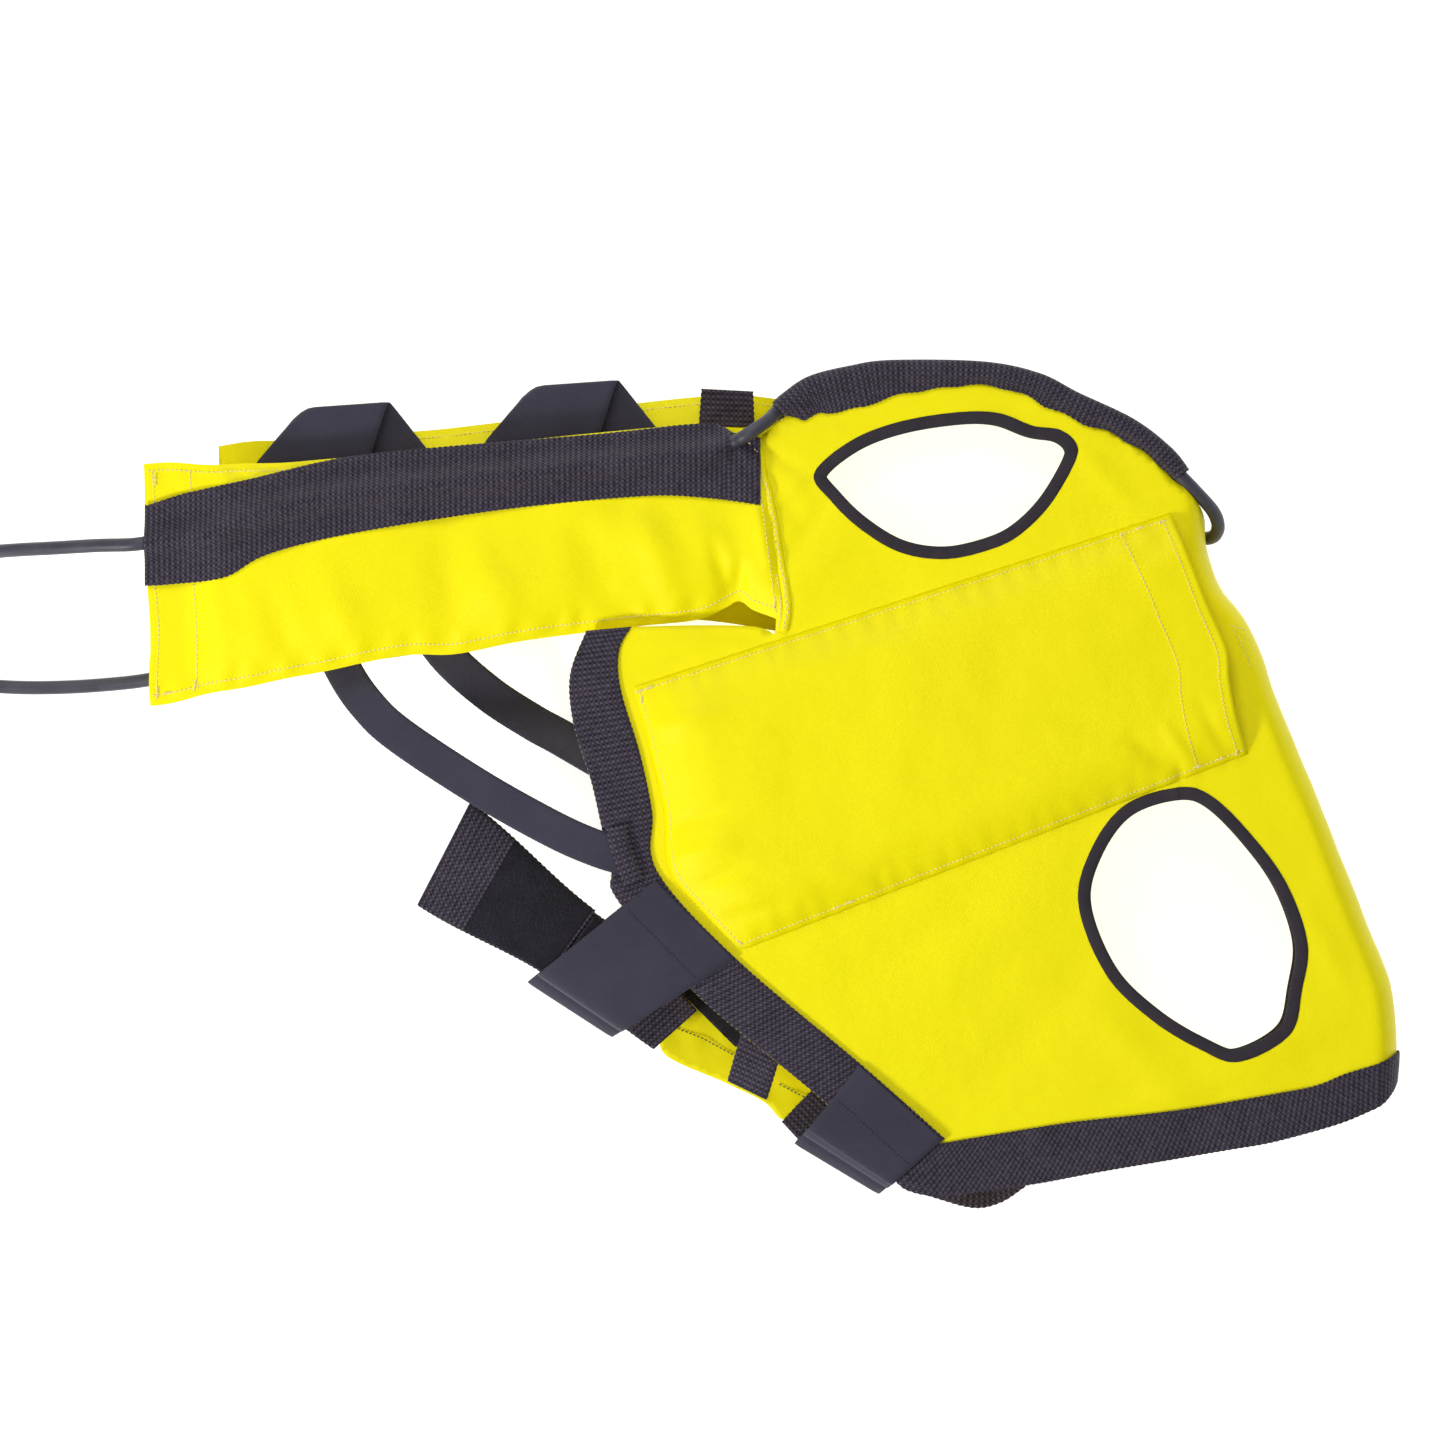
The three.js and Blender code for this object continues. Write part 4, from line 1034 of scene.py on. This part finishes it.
class MakePockets(bpy.types.Operator):
    """Makes the foam pocket on each side, with the foam slab that slides out of it"""
    bl_idname = "life_jacket.pockets"
    bl_label = "Foam pockets"

    def execute(self, context):
        left, right = pocket_frame()
        across, along = 76, 150
        rows = []
        for v in np.linspace(0, 1, across):
            row = []
            for u in np.linspace(0, 1, along):
                x, y = pocket_place(u, v, left, right)
                edge = min(v * POCKET_WIDE, (1 - v) * POCKET_WIDE, u * POCKET_LONG)
                base = -0.1 + 1.5 * min(1.0, edge / 7)
                row.append((x, y, lie(x, y) + base + pocket_rise(u, v, x, y)))
            rows.append(row)
        top = np.array(rows).reshape(-1, 3)
        faces = grid_faces(across, along)
        for side in ("near", "far"):
            cover = new_piece(f"{side}_pocket_cloth", *on_side(side, top, faces), "yellow",
                              replaces=(f"{side}_pocket_cover",),
                              thickness=settings().cloth_thickness / MM)
            self.foam(side, left, right)
        grid = np.array(rows)

        def seam(us, vs, lift=0.75):
            got = []
            for u, v in zip(us, vs):
                x, y = pocket_place(u, v, left, right)
                i, j = v * (across - 1), u * (along - 1)
                a, b = int(min(across - 2, i)), int(min(along - 2, j))
                f, g = i - a, j - b
                z = ((grid[a, b, 2] * (1 - f) + grid[a + 1, b, 2] * f) * (1 - g)
                     + (grid[a, b + 1, 2] * (1 - f) + grid[a + 1, b + 1, 2] * f) * g)
                got.append((x, y, z + lift))
            return got

        t = np.linspace(0, 1, 160)
        seams = [
            seam(t * 0.985 + 0.01, np.full(160, 0.022)), seam(t * 0.985 + 0.01, np.full(160, 0.978)),
            seam(np.full(160, 0.012), t * 0.96 + 0.02), seam(np.full(160, 0.982), t * 0.98 + 0.01),
            seam(0.905 + 0.028 * np.sin(t * math.pi) * 0.3, t * 0.96 + 0.02),
        ]
        pitch = settings().stitch_pitch / MM
        stitches("near_pocket_stitching", seams, pitch=pitch)
        tacks = []
        for u, v, angle in ((0.012, 0.978, 0.3), (0.03, 0.978, 0.3), (0.012, 0.03, -0.8), (0.012, 0.95, 1.5),
                            (0.982, 0.975, 0.4), (0.905, 0.975, 1.2), (0.982, 0.025, 1.3),
                            (0.905, 0.025, 0.3), (0.94, 0.98, 0.3), (0.95, 0.022, 0.3), (0.2, 0.022, 0.35),
                            (0.225, 0.022, 0.35)):
            x, y, z = seam([u], [v])[0]
            tacks.append(backtack(x, y, z + 0.2, angle))
        stitches("near_pocket_backtacks", tacks, pitch=1.9, long=1.8, radius=0.5)
        stitches("far_pocket_stitching", [mirror(line) for line in seams], pitch=pitch)
        return {"FINISHED"}

    def foam(self, side, left, right):
        """A flat slab with rounded upper edges."""
        m, n = 30, 60
        points = []
        for v in np.linspace(0.2, 0.8, m):
            for u in np.linspace(0.11, 0.955, n):
                x, y = pocket_place(u, v, left, right)
                edge = min(min(v - 0.2, 0.8 - v) * POCKET_WIDE,
                           min(u - 0.11, 0.955 - u) * POCKET_LONG)
                points.append((x, y, 83.0 + 6.8 * (0.25 + 0.75 * shoulder(edge, 5))))
        points += [(x, y, 82.9) for x, y, _ in points]
        top = grid_faces(m, n)
        faces = top + [tuple(i + m * n for i in f[::-1]) for f in top]
        rim = ([(0, j) for j in range(n)] + [(i, n - 1) for i in range(1, m)]
               + [(m - 1, j) for j in range(n - 2, -1, -1)] + [(i, 0) for i in range(m - 2, 0, -1)])
        flat = [i * n + j for i, j in rim]
        faces += [(b, a, a + m * n, b + m * n) for a, b in zip(flat, flat[1:] + flat[:1])]
        points, faces = on_side(side, points, faces)
        slab = new_piece(f"{side}_foam_slab", points, faces, "foam",
                         replaces=(f"{side}_pocket_foam",), body=f"{side}_foam")


# ---- holes -----------------------------------------------------------------------------

class MakeBindings(bpy.types.Operator):
    """Makes the folded tape round each hole"""
    bl_idname = "life_jacket.bindings"
    bl_label = "Hole binding"

    def execute(self, context):
        for name, outline in (("upper", UPPER_HOLE), ("lower", LOWER_HOLE)):
            ring = smooth_line(outline, 260, True)
            for side, width in (("near", 9.6), ("far", 7.6)):
                self.tape(side, name, ring, inset(ring, width, 22))
        return {"FINISHED"}

    def tape(self, side, name, outer, inner):
        rows, marks, run = [], [], 0.0
        closed = np.concatenate([outer, outer[:1]])
        count = 14
        for i, (p, q) in enumerate(zip(outer, inner)):
            run += float(np.linalg.norm(closed[i + 1] - closed[i]))
            width = q - p
            wave = 0.25 * math.sin(run / 1.7) + 0.5 * noise_at(p[0] / 14, p[1] / 14, 5)
            for k in range(count):
                a = 2 * math.pi * k / count
                t = 0.5 - 0.5 * math.cos(a)
                half = 1.75 * math.copysign(abs(math.sin(a)) ** 0.55, math.sin(a)) if k else 0
                x, y = p + width * t
                rows.append((x, y, lie(*p) + half * (1 + 0.12 * wave) + 0.12 * wave))
                marks.append((run, t * 11))
        faces = grid_faces(len(outer), count, wrap=True)
        n = (len(outer) - 1) * count
        faces += [(n + j, n + (j + 1) % count, (j + 1) % count, j) for j in range(count)]
        points = np.array(rows)
        points, faces = on_side(side, points, faces)
        new_piece(f"{side}_{name}_hole_tape", points, faces, "tape",
                  replaces=(f"{side}_{name}_hole_binding",), weave=marks)


# ---- stems -----------------------------------------------------------------------------

STEM_CREASES = [
    (-60, 195, -20, 150, 12, 2.0), (-44, 178, -30, 138, 6, -2.6), (-24, 160, -24, 136, 5, -3.0),
    (-12, 205, 2, 150, 6, 1.8), (-240, 190, -232, 104, 15, -2.0), (-215, 170, -190, 116, 14, 2.0),
    (-330, 160, -300, 96, 15, 1.8), (-370, 150, -350, 90, 12, -1.8), (-140, 190, -112, 126, 14, -1.8),
    (-96, 200, -70, 128, 13, 2.2), (-420, 190, -400, 90, 10, 1.4), (-180, 215, -60, 170, 16, 1.6),
]


class MakeStems(bpy.types.Operator):
    """Makes the padded stem on each side, with its channel webbing"""
    bl_idname = "life_jacket.stems"
    bl_label = "Padded stems"

    def execute(self, context):
        for side in ("near", "far"):
            top, bottom, left, right, body = stem_shape(side)
            self.cover(side, top, bottom, left, right, body)
            self.foam(side, top, bottom, left, right, body)
            self.channel(side, body)
        return {"FINISHED"}

    def cover(self, side, top, bottom, left, right, body):
        along, across = 170, 60
        marks = STEM_CREASES if side == "near" else []
        loops = []
        seams = {"bottom": [], "top": [], "end1": [], "end2": [], "seam": [], "seam2": []}

        def place(u, v):
            start = left[0] + (left[1] - left[0]) * v
            end = right[0] + (right[1] - right[0]) * v
            x = start * (1 - u) + end * u
            y = bottom(x) + (top(x) - bottom(x)) * v
            x += 1.5 * (1 - u) ** 14 * math.sin(y / 15)
            y += 1.1 * (1 - u) ** 6 * math.sin(x / 9) * (2 * v - 1)
            at, half = body(x, y)
            wide = top(x) - bottom(x)
            edge = min(v, 1 - v) * wide
            pucker = (0.8 * bell(edge - 9, 9) * math.sin(x / 4.1 + 2.5 * noise_at(x / 30, 0, 2)))
            pucker += 0.7 * bell(right[0] - x - 8, 8) * math.sin(y / 3.6)
            full = min(1.0, (half - STEM_EDGE) / 6)
            up = (half + (pucker + 0.8 * waves(x, y, 6.0, 70, 26)) * min(1, edge / 5)
                  + 1.5 * crease(x, y, marks) * full)
            under = -half - 0.7 * waves(x, y, 16.0, 70, 26) * full
            droop = -5.0 * (1 - shoulder(x - left[0], 60)) * 0.5
            return x, y, at + droop, up, under

        for u in np.linspace(0, 1, along):
            loop_top, loop_low = [], []
            for k in range(across):
                v = 0.5 - 0.5 * math.cos(math.pi * k / (across - 1))
                x, y, at, up, under = place(u, v)
                loop_top.append((x, y, at + up))
                loop_low.append((x, y, at + under))
            loops.append(loop_top + loop_low[::-1])
        for u in np.linspace(0.004, 0.992, 300):
            for key, d in (("bottom", 7.5), ("top", 5.5)):
                x = left[0] * (1 - u) + right[0] * u
                wide = top(x) - bottom(x)
                v = d / wide if key == "bottom" else 1 - d / wide
                px, py, at, up, _ = place(u, v)
                seams[key].append((px, py, at + up + 0.15))
        for key, u in (("end1", 0.012), ("end2", 0.074), ("seam", 0.985)):
            for v in np.linspace(0.03, 0.965, 120):
                px, py, at, up, _ = place(u, v)
                seams[key].append((px, py, at + up + 0.15))
        points = np.array(loops)
        faces = tube_faces(along, points.shape[1])
        points = points.reshape(-1, 3)
        points, faces = on_side(side, points, faces)
        cover = new_piece(f"{side}_stem_cloth", points, faces, "yellow", replaces=(f"{side}_stem_cover",))
        lines = [np.array(v) for v in seams.values() if v]
        if side == "far":
            upper = np.array(seams["top"])
            upper[:, 2] = [2 * body(p[0], p[1])[0] - p[2] for p in upper]
            lines = [mirror(line) for line in (*lines, upper)]
        stitches(f"{side}_stem_stitching", lines, pitch=settings().stitch_pitch / MM)
        if side == "near":
            tacks = []
            for u, v, angle in ((0.03, 0.045, 0.2), (0.012, 0.05, 1.5), (0.07, 0.05, 1.4), (0.016, 0.93, 1.6),
                                (0.985, 0.08, 1.4), (0.98, 0.90, -1.0), (0.985, 0.84, -1.1)):
                x, y, at, up, _ = place(u, v)
                tacks.append(backtack(x, y, at + up + 0.4, angle, 8))
            stitches("near_stem_backtacks", tacks, pitch=1.9, long=1.8, radius=0.5)

    def foam(self, side, top, bottom, left, right, body):
        loops = []
        for u in np.linspace(0.1, 0.9, 60):
            x = left[0] * (1 - u) + right[0] * u
            ring = []
            for k in range(40):
                a = 2 * math.pi * k / 40
                v = 0.5 + 0.4 * math.copysign(abs(math.cos(a)) ** 0.7, math.cos(a))
                y = bottom(x) + (top(x) - bottom(x)) * v
                at, half = body(x, y)
                up = math.copysign(abs(math.sin(a)) ** 0.5, math.sin(a))
                ring.append((x, y, at + max(0.8, half - 6.4) * up))
            loops.append(ring)
        points = np.array(loops).reshape(-1, 3)
        faces = tube_faces(60, 40)
        points, faces = on_side(side, points, faces)
        slab = new_piece(f"{side}_stem_pad", points, faces, "foam", replaces=(f"{side}_stem_foam",))

    def channel(self, side, body):
        spec = CHANNELS[side]
        top, bottom, cable = (along_x(spec[k]) for k in ("top", "bottom", "cable"))
        a, b = spec["ends"]
        rows = []
        n = int((b - a) / 0.95)
        for x in np.linspace(a, b, n):
            row = []
            mid = cable(x)
            ruck = max(0.0, (x - b + 60) / 60) if side == "near" else 0
            for t in np.linspace(0, 1, 26):
                y = bottom(x) + (top(x) - bottom(x)) * t
                at, half = body(x, y)
                hump = 11.2 * math.cos(math.pi * (y - mid) / 44) ** 4 if abs(y - mid) < 22 else 0
                hump *= 1 - shoulder(max(0.0, x - b + 24), 14)
                fold = 1.7 * ruck * math.sin((x + 0.9 * y) / 3.4) * t
                drop = 2.5 * (1 - shoulder(x - a, 34))
                row.append((x, y, at + half + 1.5 + hump + fold - drop * (0.3 + 0.7 * abs(2 * t - 1))
                            + 0.4 * waves(x, y, 3.3, 60, 20)))
            rows.append(row)
        rows, _ = on_side(side, np.array(rows))
        strip_piece(f"{side}_stem_channel", rows, replaces=(f"{side}_stem_channel_webbing",))


# ---- edge webbing ----------------------------------------------------------------------

class MakeEdging(bpy.types.Operator):
    """Makes the webbing round the jaw, the hem, the fold and the crown"""
    bl_idname = "life_jacket.edging"
    bl_label = "Edge webbing"

    def execute(self, context):
        jaw = np.array(between(JAW_OUTER[::-1], JAW_INNER[::-1], 560, 18,
                               lambda x, y: lie(x, y) + 2.4))
        for side in ("near", "far"):
            rows, _ = on_side(side, jaw)
            strip_piece(f"{side}_jaw_web", rows, replaces=(f"{side}_jaw_webbing",))
            self.crown(side)
        self.hem()
        return {"FINISHED"}

    def hem(self):
        """One webbing along the near hem, round the fold and back along the far hem."""
        low = smooth_line(HEM_BOTTOM + [(449, -232), (461, -225), (471, -220), (479.5, -218)], 420)
        high = smooth_line(HEM_TOP + [(452, -200), (466, -196), (479.5, -195)], 420)
        across = 16
        flat = [q + (p - q) * t for p, q in zip(low, high) for t in np.linspace(0, 1, across)]
        rows = fold_wrap(flat).reshape(420, across, 3)
        sway = 0.5 * np.sin(np.arange(420) / 13)[:, None] * np.linspace(0, 1, across)
        rows[:, :, 2] += sway * (rows[:, :, 2] > 70)
        far = mirror(rows)[::-1]
        strip_piece("hem_web", np.concatenate([rows[:-1], far]), stand=2.2, keep_side=True,
                    replaces=("near_hem_webbing", "far_hem_webbing", "fold_hem_webbing"))
        end = between([(98, -297), (121, -305), (149, -312), (169, -308), (187, -296)],
                      [(108, -284), (125, -286), (149, -288), (168, -287), (184, -283)], 90, 12,
                      lambda x, y: 12.6 + 1.5 * math.sin(x / 7))
        strip_piece("far_hem_end", end, thick=2.4)

    def crown(self, side):
        line = smooth_line(CROWN_LINE, 330)
        normal = level_normals(line)
        rows = []
        for i, (p, n) in enumerate(zip(line, normal)):
            s = i / 329
            ruck = 1.1 * noise_at(s * 22, 0, 1) + 0.8 * math.sin(s * 44 + 3 * math.sin(s * 9))
            lap = float(np.interp(s, CROWN_LAP[0], CROWN_LAP[1]))
            lap += 0.9 * math.sin(s * 61) + 1.2 * noise_at(s * 14, 3, 1)
            r = 7.2
            leg = [(-lap + (lap - 4) * k / 10, 2.1 + (r - 2.1) * (k / 10) ** 2.5) for k in range(11)]
            turn = [math.pi * (0.5 - k / 12) for k in range(1, 12)]
            row = leg + [(r * math.cos(a), r * math.sin(a)) for a in turn]
            row += [(out, -up) for out, up in leg[::-1]]
            full = []
            for out, up in row:
                wave = ruck * 0.5 * min(1.0, abs(up) / 4) * (1 if up > 0 else -1)
                x, y = p + n * out
                full.append((x, y, lie(*(p - n * 10)) + up + wave))
            rows.append(full)
        rows, _ = on_side(side, np.array(rows))
        strip_piece(f"{side}_crown_web", rows, thick=1.3,
                    replaces=(f"{side}_crown_webbing",), keep_side=True)


# ---- elastic ---------------------------------------------------------------------------

def band_rows(profile, start, heading, across, width, steps, count, skew=0.0, bow=0.0,
              slide=0.0, taper=0.0):
    """Rows of a band whose side view, as (reach, height), runs out from its start and back."""
    way = smooth_line(profile, steps)
    rows = []
    top = max(p[0] for p in profile)
    for k, (reach, z) in enumerate(way):
        row = []
        for t in np.linspace(-0.5, 0.5, count):
            side = t * width * (1 - taper * max(0.0, reach / top)) + slide * k / (steps - 1)
            slip = skew * reach
            r = reach * (1 + bow * t)
            row.append((start[0] + heading[0] * r + across[0] * (side + slip),
                        start[1] + heading[1] * r + across[1] * (side + slip), z))
        rows.append(row)
    return rows


def unit(x, y):
    return x / math.hypot(x, y), y / math.hypot(x, y)


class MakeElastic(bpy.types.Operator):
    """Makes the elastic loops over the stems and at the jaw, and the two throat straps"""
    bl_idname = "life_jacket.elastic"
    bl_label = "Elastic"

    def execute(self, context):
        profile = [(-22, 54.6), (0, 54.6), (18, 55.2), (32, 53.5), (38, 49.4), (32, 45.4),
                   (18, 43.6), (0, 43.6), (-22, 43.6)]
        for name, start in (("front", (-348, 238)), ("rear", (-180, 254))):
            rows = band_rows(profile, start, unit(-0.08, 1), (1, 0.07), 84, 130, 16,
                             slide=66, taper=0.12)
            rows = np.array(rows)
            rows[:, :, 1] -= (np.clip((0.26 - np.linspace(0, 1, 16)) / 0.26, 0, 1) ** 2
                              * np.clip(rows[:, :, 1] - start[1], 0, None) * 0.34)
            strip_piece(f"{name}_stem_band", rows, "elastic", thick=1.3,
                        serrate=0.05, keep_side=True,
                        replaces=(f"{name}_stem_elastic_loop",))
        for name, start, heading, across, reach, bow, skew, taper in (
                ("upper", (-55, -97), unit(-0.72, -0.69), unit(0.7, -0.71), 114, -0.14, -0.14, 0.12),
                ("lower", (95, -230), unit(-0.68, -0.73), unit(0.74, -0.67), 70, -0.2, 0.0, 0.14)):
            top, low = LOOP_TOP, HEIGHT - LOOP_TOP
            mid = [44 + (reach - 44) * k for k in (0.45, 0.82)]
            side = [(2, top), (24, top + 0.3), (44, top), (mid[0], top - 2), (reach - 14, top - 7),
                    (reach - 9, top - 16), (reach - 11, 60), (reach - 4, 54), (reach, 47),
                    (reach - 5, 38), (mid[1], low + 14), (mid[0], low + 4), (44, low), (24, low),
                    (2, low)]
            rows = band_rows(side, start, heading, across, 82, 220, 16, bow=bow, skew=skew,
                             taper=taper)
            strip_piece(f"{name}_jaw_band", rows, "elastic", thick=1.3,
                        serrate=0.05, keep_side=True,
                        replaces=(f"{name}_jaw_elastic_loop",))
            seam = [(start[0] + heading[0] * 32 + across[0] * (t + skew * 32),
                     start[1] + heading[1] * 32 + across[1] * (t + skew * 32), top + 1.2)
                    for t in np.linspace(-36, 36, 40)]
            stitches(f"{name}_jaw_band_stitching", [seam], "dark", slot="elastic", radius=0.35)
        for name, path in (
                ("near", [(-332, 124, 53), (-314, 84, 54), (-296, 58, 58), (-272, 36, 62), (-214, -2, 71),
                          (-160, -32, 80), (-128, -46, 85.0), (-108, -52, 85.4)]),
                ("far", [(-262, 128, 45), (-239, 95, 44), (-208, 67, 32), (-176, 46, 17),
                         (-156, 35, 12.4), (-120, 14, 12.2)])):
            line = smooth_line(path, 180)
            normal = level_normals(line)
            rows = [[(p[0] + n[0] * t, p[1] + n[1] * t, p[2] + 0.02 * t)
                     for t in np.linspace(-13.5, 13.5, 12)] for p, n in zip(line, normal)]
            strip_piece(f"{name}_throat_band", rows, "elastic", thick=1.3,
                        serrate=0.06, replaces=(f"{name}_throat_strap",))
        line = smooth_line([(-114, -30), (-111, -44), (-106, -58), (-101, -71)], 60)
        rows = [[(p[0] + n[0] * t, p[1] + n[1] * t, 88.4 - 0.03 * t * t)
                 for t in np.linspace(-7.5, 7.5, 12)] for p, n in zip(line, level_normals(line))]
        strip_piece("throat_hook_tab", rows, slot="hook_and_loop", thick=1.8,
                    replaces=("throat_strap_hook_tab",))
        return {"FINISHED"}


# ---- closure strap and small webbing ---------------------------------------------------

STRAP_ROOT = (-146.0, -117.0)
STRAP_HEADING = unit(-0.81, 0.59)
STRAP_ACROSS = (STRAP_HEADING[1], -STRAP_HEADING[0])
STRAP_LENGTH = 122.0


def strap_rows(start, end, z, along, across, trim=0.0, curl=0.0):
    """Rows of the closure strap's loose tail, which widens to its end."""
    rows = []
    for far in np.linspace(start, end, along):
        t = min(1, max(0, far / STRAP_LENGTH))
        wide = 60 + 21 * ease(t) - trim
        row = []
        for k in np.linspace(-0.5, 0.5, across):
            reach = far - 13 * (0.5 - k) * t
            lift = 1.9 * math.sin(reach / 15 + 2 * k) * t * (1 - t * 0.4) + curl * (2 * k) ** 2 * t
            side = k * wide - 3.5 * (0.5 - k) * t
            row.append((STRAP_ROOT[0] + STRAP_HEADING[0] * reach + STRAP_ACROSS[0] * side,
                        STRAP_ROOT[1] + STRAP_HEADING[1] * reach + STRAP_ACROSS[1] * side,
                        z + lift))
        rows.append(row)
    return rows


class MakeStraps(bpy.types.Operator):
    """Makes the hook-and-loop closure strap and the small webbing tabs"""
    bl_idname = "life_jacket.straps"
    bl_label = "Closure strap and tabs"

    def execute(self, context):
        tail = "closure_tail"
        strip_piece("closure_tail_web", strap_rows(1.6, STRAP_LENGTH, 47.0, 120, 26), body=tail,
                    replaces=("closure_strap_tail",))
        self.pile()
        fold = strap_rows(STRAP_LENGTH - 42, STRAP_LENGTH + 0.8, 49.6, 60, 26, 0.5, 1.0)
        strip_piece("closure_end_fold_web", fold, thick=2.2,
                    body=tail, replaces=("closure_strap_end_fold",))
        line = smooth_line([(-150, -113.8, 43.6), (-142, -119.5, 44.0), (-133, -126.4, 45.2),
                            (-112, -144, 47), (-76, -184, 44)], 60)
        normal = level_normals(line)
        rows = [[(p[0] + n[0] * t, p[1] + n[1] * t, p[2])
                 for t in np.linspace(-28 + 13 * (k / 59) ** 2, 28, 20)]
                for k, (p, n) in enumerate(zip(line, normal))]
        held = np.array(rows)[3:34, 1:-1] + (0, 0, 1.8)
        new_piece("closure_held_pile", held.reshape(-1, 3), grid_faces(*held.shape[:2]), "pile",
                  thickness=1.0)
        strip_piece("closure_held_web", rows, replaces=("closure_strap_held_part",))
        for name, node, corners, z in (
                ("belt_tab", "jaw_belt_tab", [(-20, -170), (10, -184), (-4, -230), (-33, -216)], 79.0),
                ("stem_end_tab", "far_stem_end_tab", [(-14, 289), (-52, 291), (-54, 263), (-13, 263)], 45.0)):
            a, b, c, d = (np.array(p, float) for p in corners)
            rows = []
            for s in np.linspace(0, 1, 60):
                drop = 10.5 * s * s if name == "belt_tab" else 0
                left, right = a + (d - a) * s, b + (c - b) * s
                rows.append([(*(left + (right - left) * t), z - drop + 1.1 * s * math.sin(s * 5 + 4 * t))
                             for t in np.linspace(0, 1, 14)])
            strip_piece(name, rows, replaces=(node,))
        strip = cut_cloth(smooth_ring([(-70, -150), (-52, -134), (-10, -180), (-26, -194)], 4), [], 3.0)
        new_piece("hook_strip", [(x, y, 23.6) for x, y in strip[0]], strip[1], "pile",
                  replaces=("closure_hook_strip",), thickness=1.8)
        return {"FINISHED"}

    def pile(self):
        rows = np.array(strap_rows(4.2, STRAP_LENGTH - 40, 48.6, 110, 76, 2.5, 0.8))
        n, m, _ = rows.shape
        for i in range(n):
            for j in range(m):
                x, y, _ = rows[i, j]
                full = min(1, min(j, m - 1 - j) / 4, ease(i / 22))
                rows[i, j, 2] += (0.9 * noise_at(x / 1.4, y / 1.4, 3) + 0.8) * full
        new_piece("closure_pile", rows.reshape(-1, 3), grid_faces(n, m), "pile", body="closure_tail",
                  replaces=("closure_strap_pile",), thickness=0.9)


# ---- add-on ----------------------------------------------------------------------------

OPERATORS = (MakeStage, MakeCable, MakeLeads, MakeBody, MakePockets, MakeBindings, MakeStems,
             MakeEdging, MakeElastic, MakeStraps)


class JacketPanel(bpy.types.Panel):
    """Lists the steps that make the jacket"""
    bl_idname = "VIEW3D_PT_life_jacket"
    bl_label = "Life jacket"
    bl_space_type = "VIEW_3D"
    bl_region_type = "UI"
    bl_category = "Life jacket"

    def draw(self, context):
        for name in JacketSettings.__annotations__:
            self.layout.prop(context.scene.life_jacket, name)
        for step in OPERATORS:
            self.layout.operator(step.bl_idname)


def register():
    for made in (JacketSettings, *OPERATORS, JacketPanel):
        bpy.utils.register_class(made)
    bpy.types.Scene.life_jacket = PointerProperty(type=JacketSettings)


def unregister():
    del bpy.types.Scene.life_jacket
    for made in reversed((JacketSettings, *OPERATORS, JacketPanel)):
        bpy.utils.unregister_class(made)


def main():
    register()
    make_finishes()
    for step in OPERATORS:
        group, name = step.bl_idname.split(".")
        getattr(getattr(bpy.ops, group), name)()


if __name__ == "__main__":
    main()
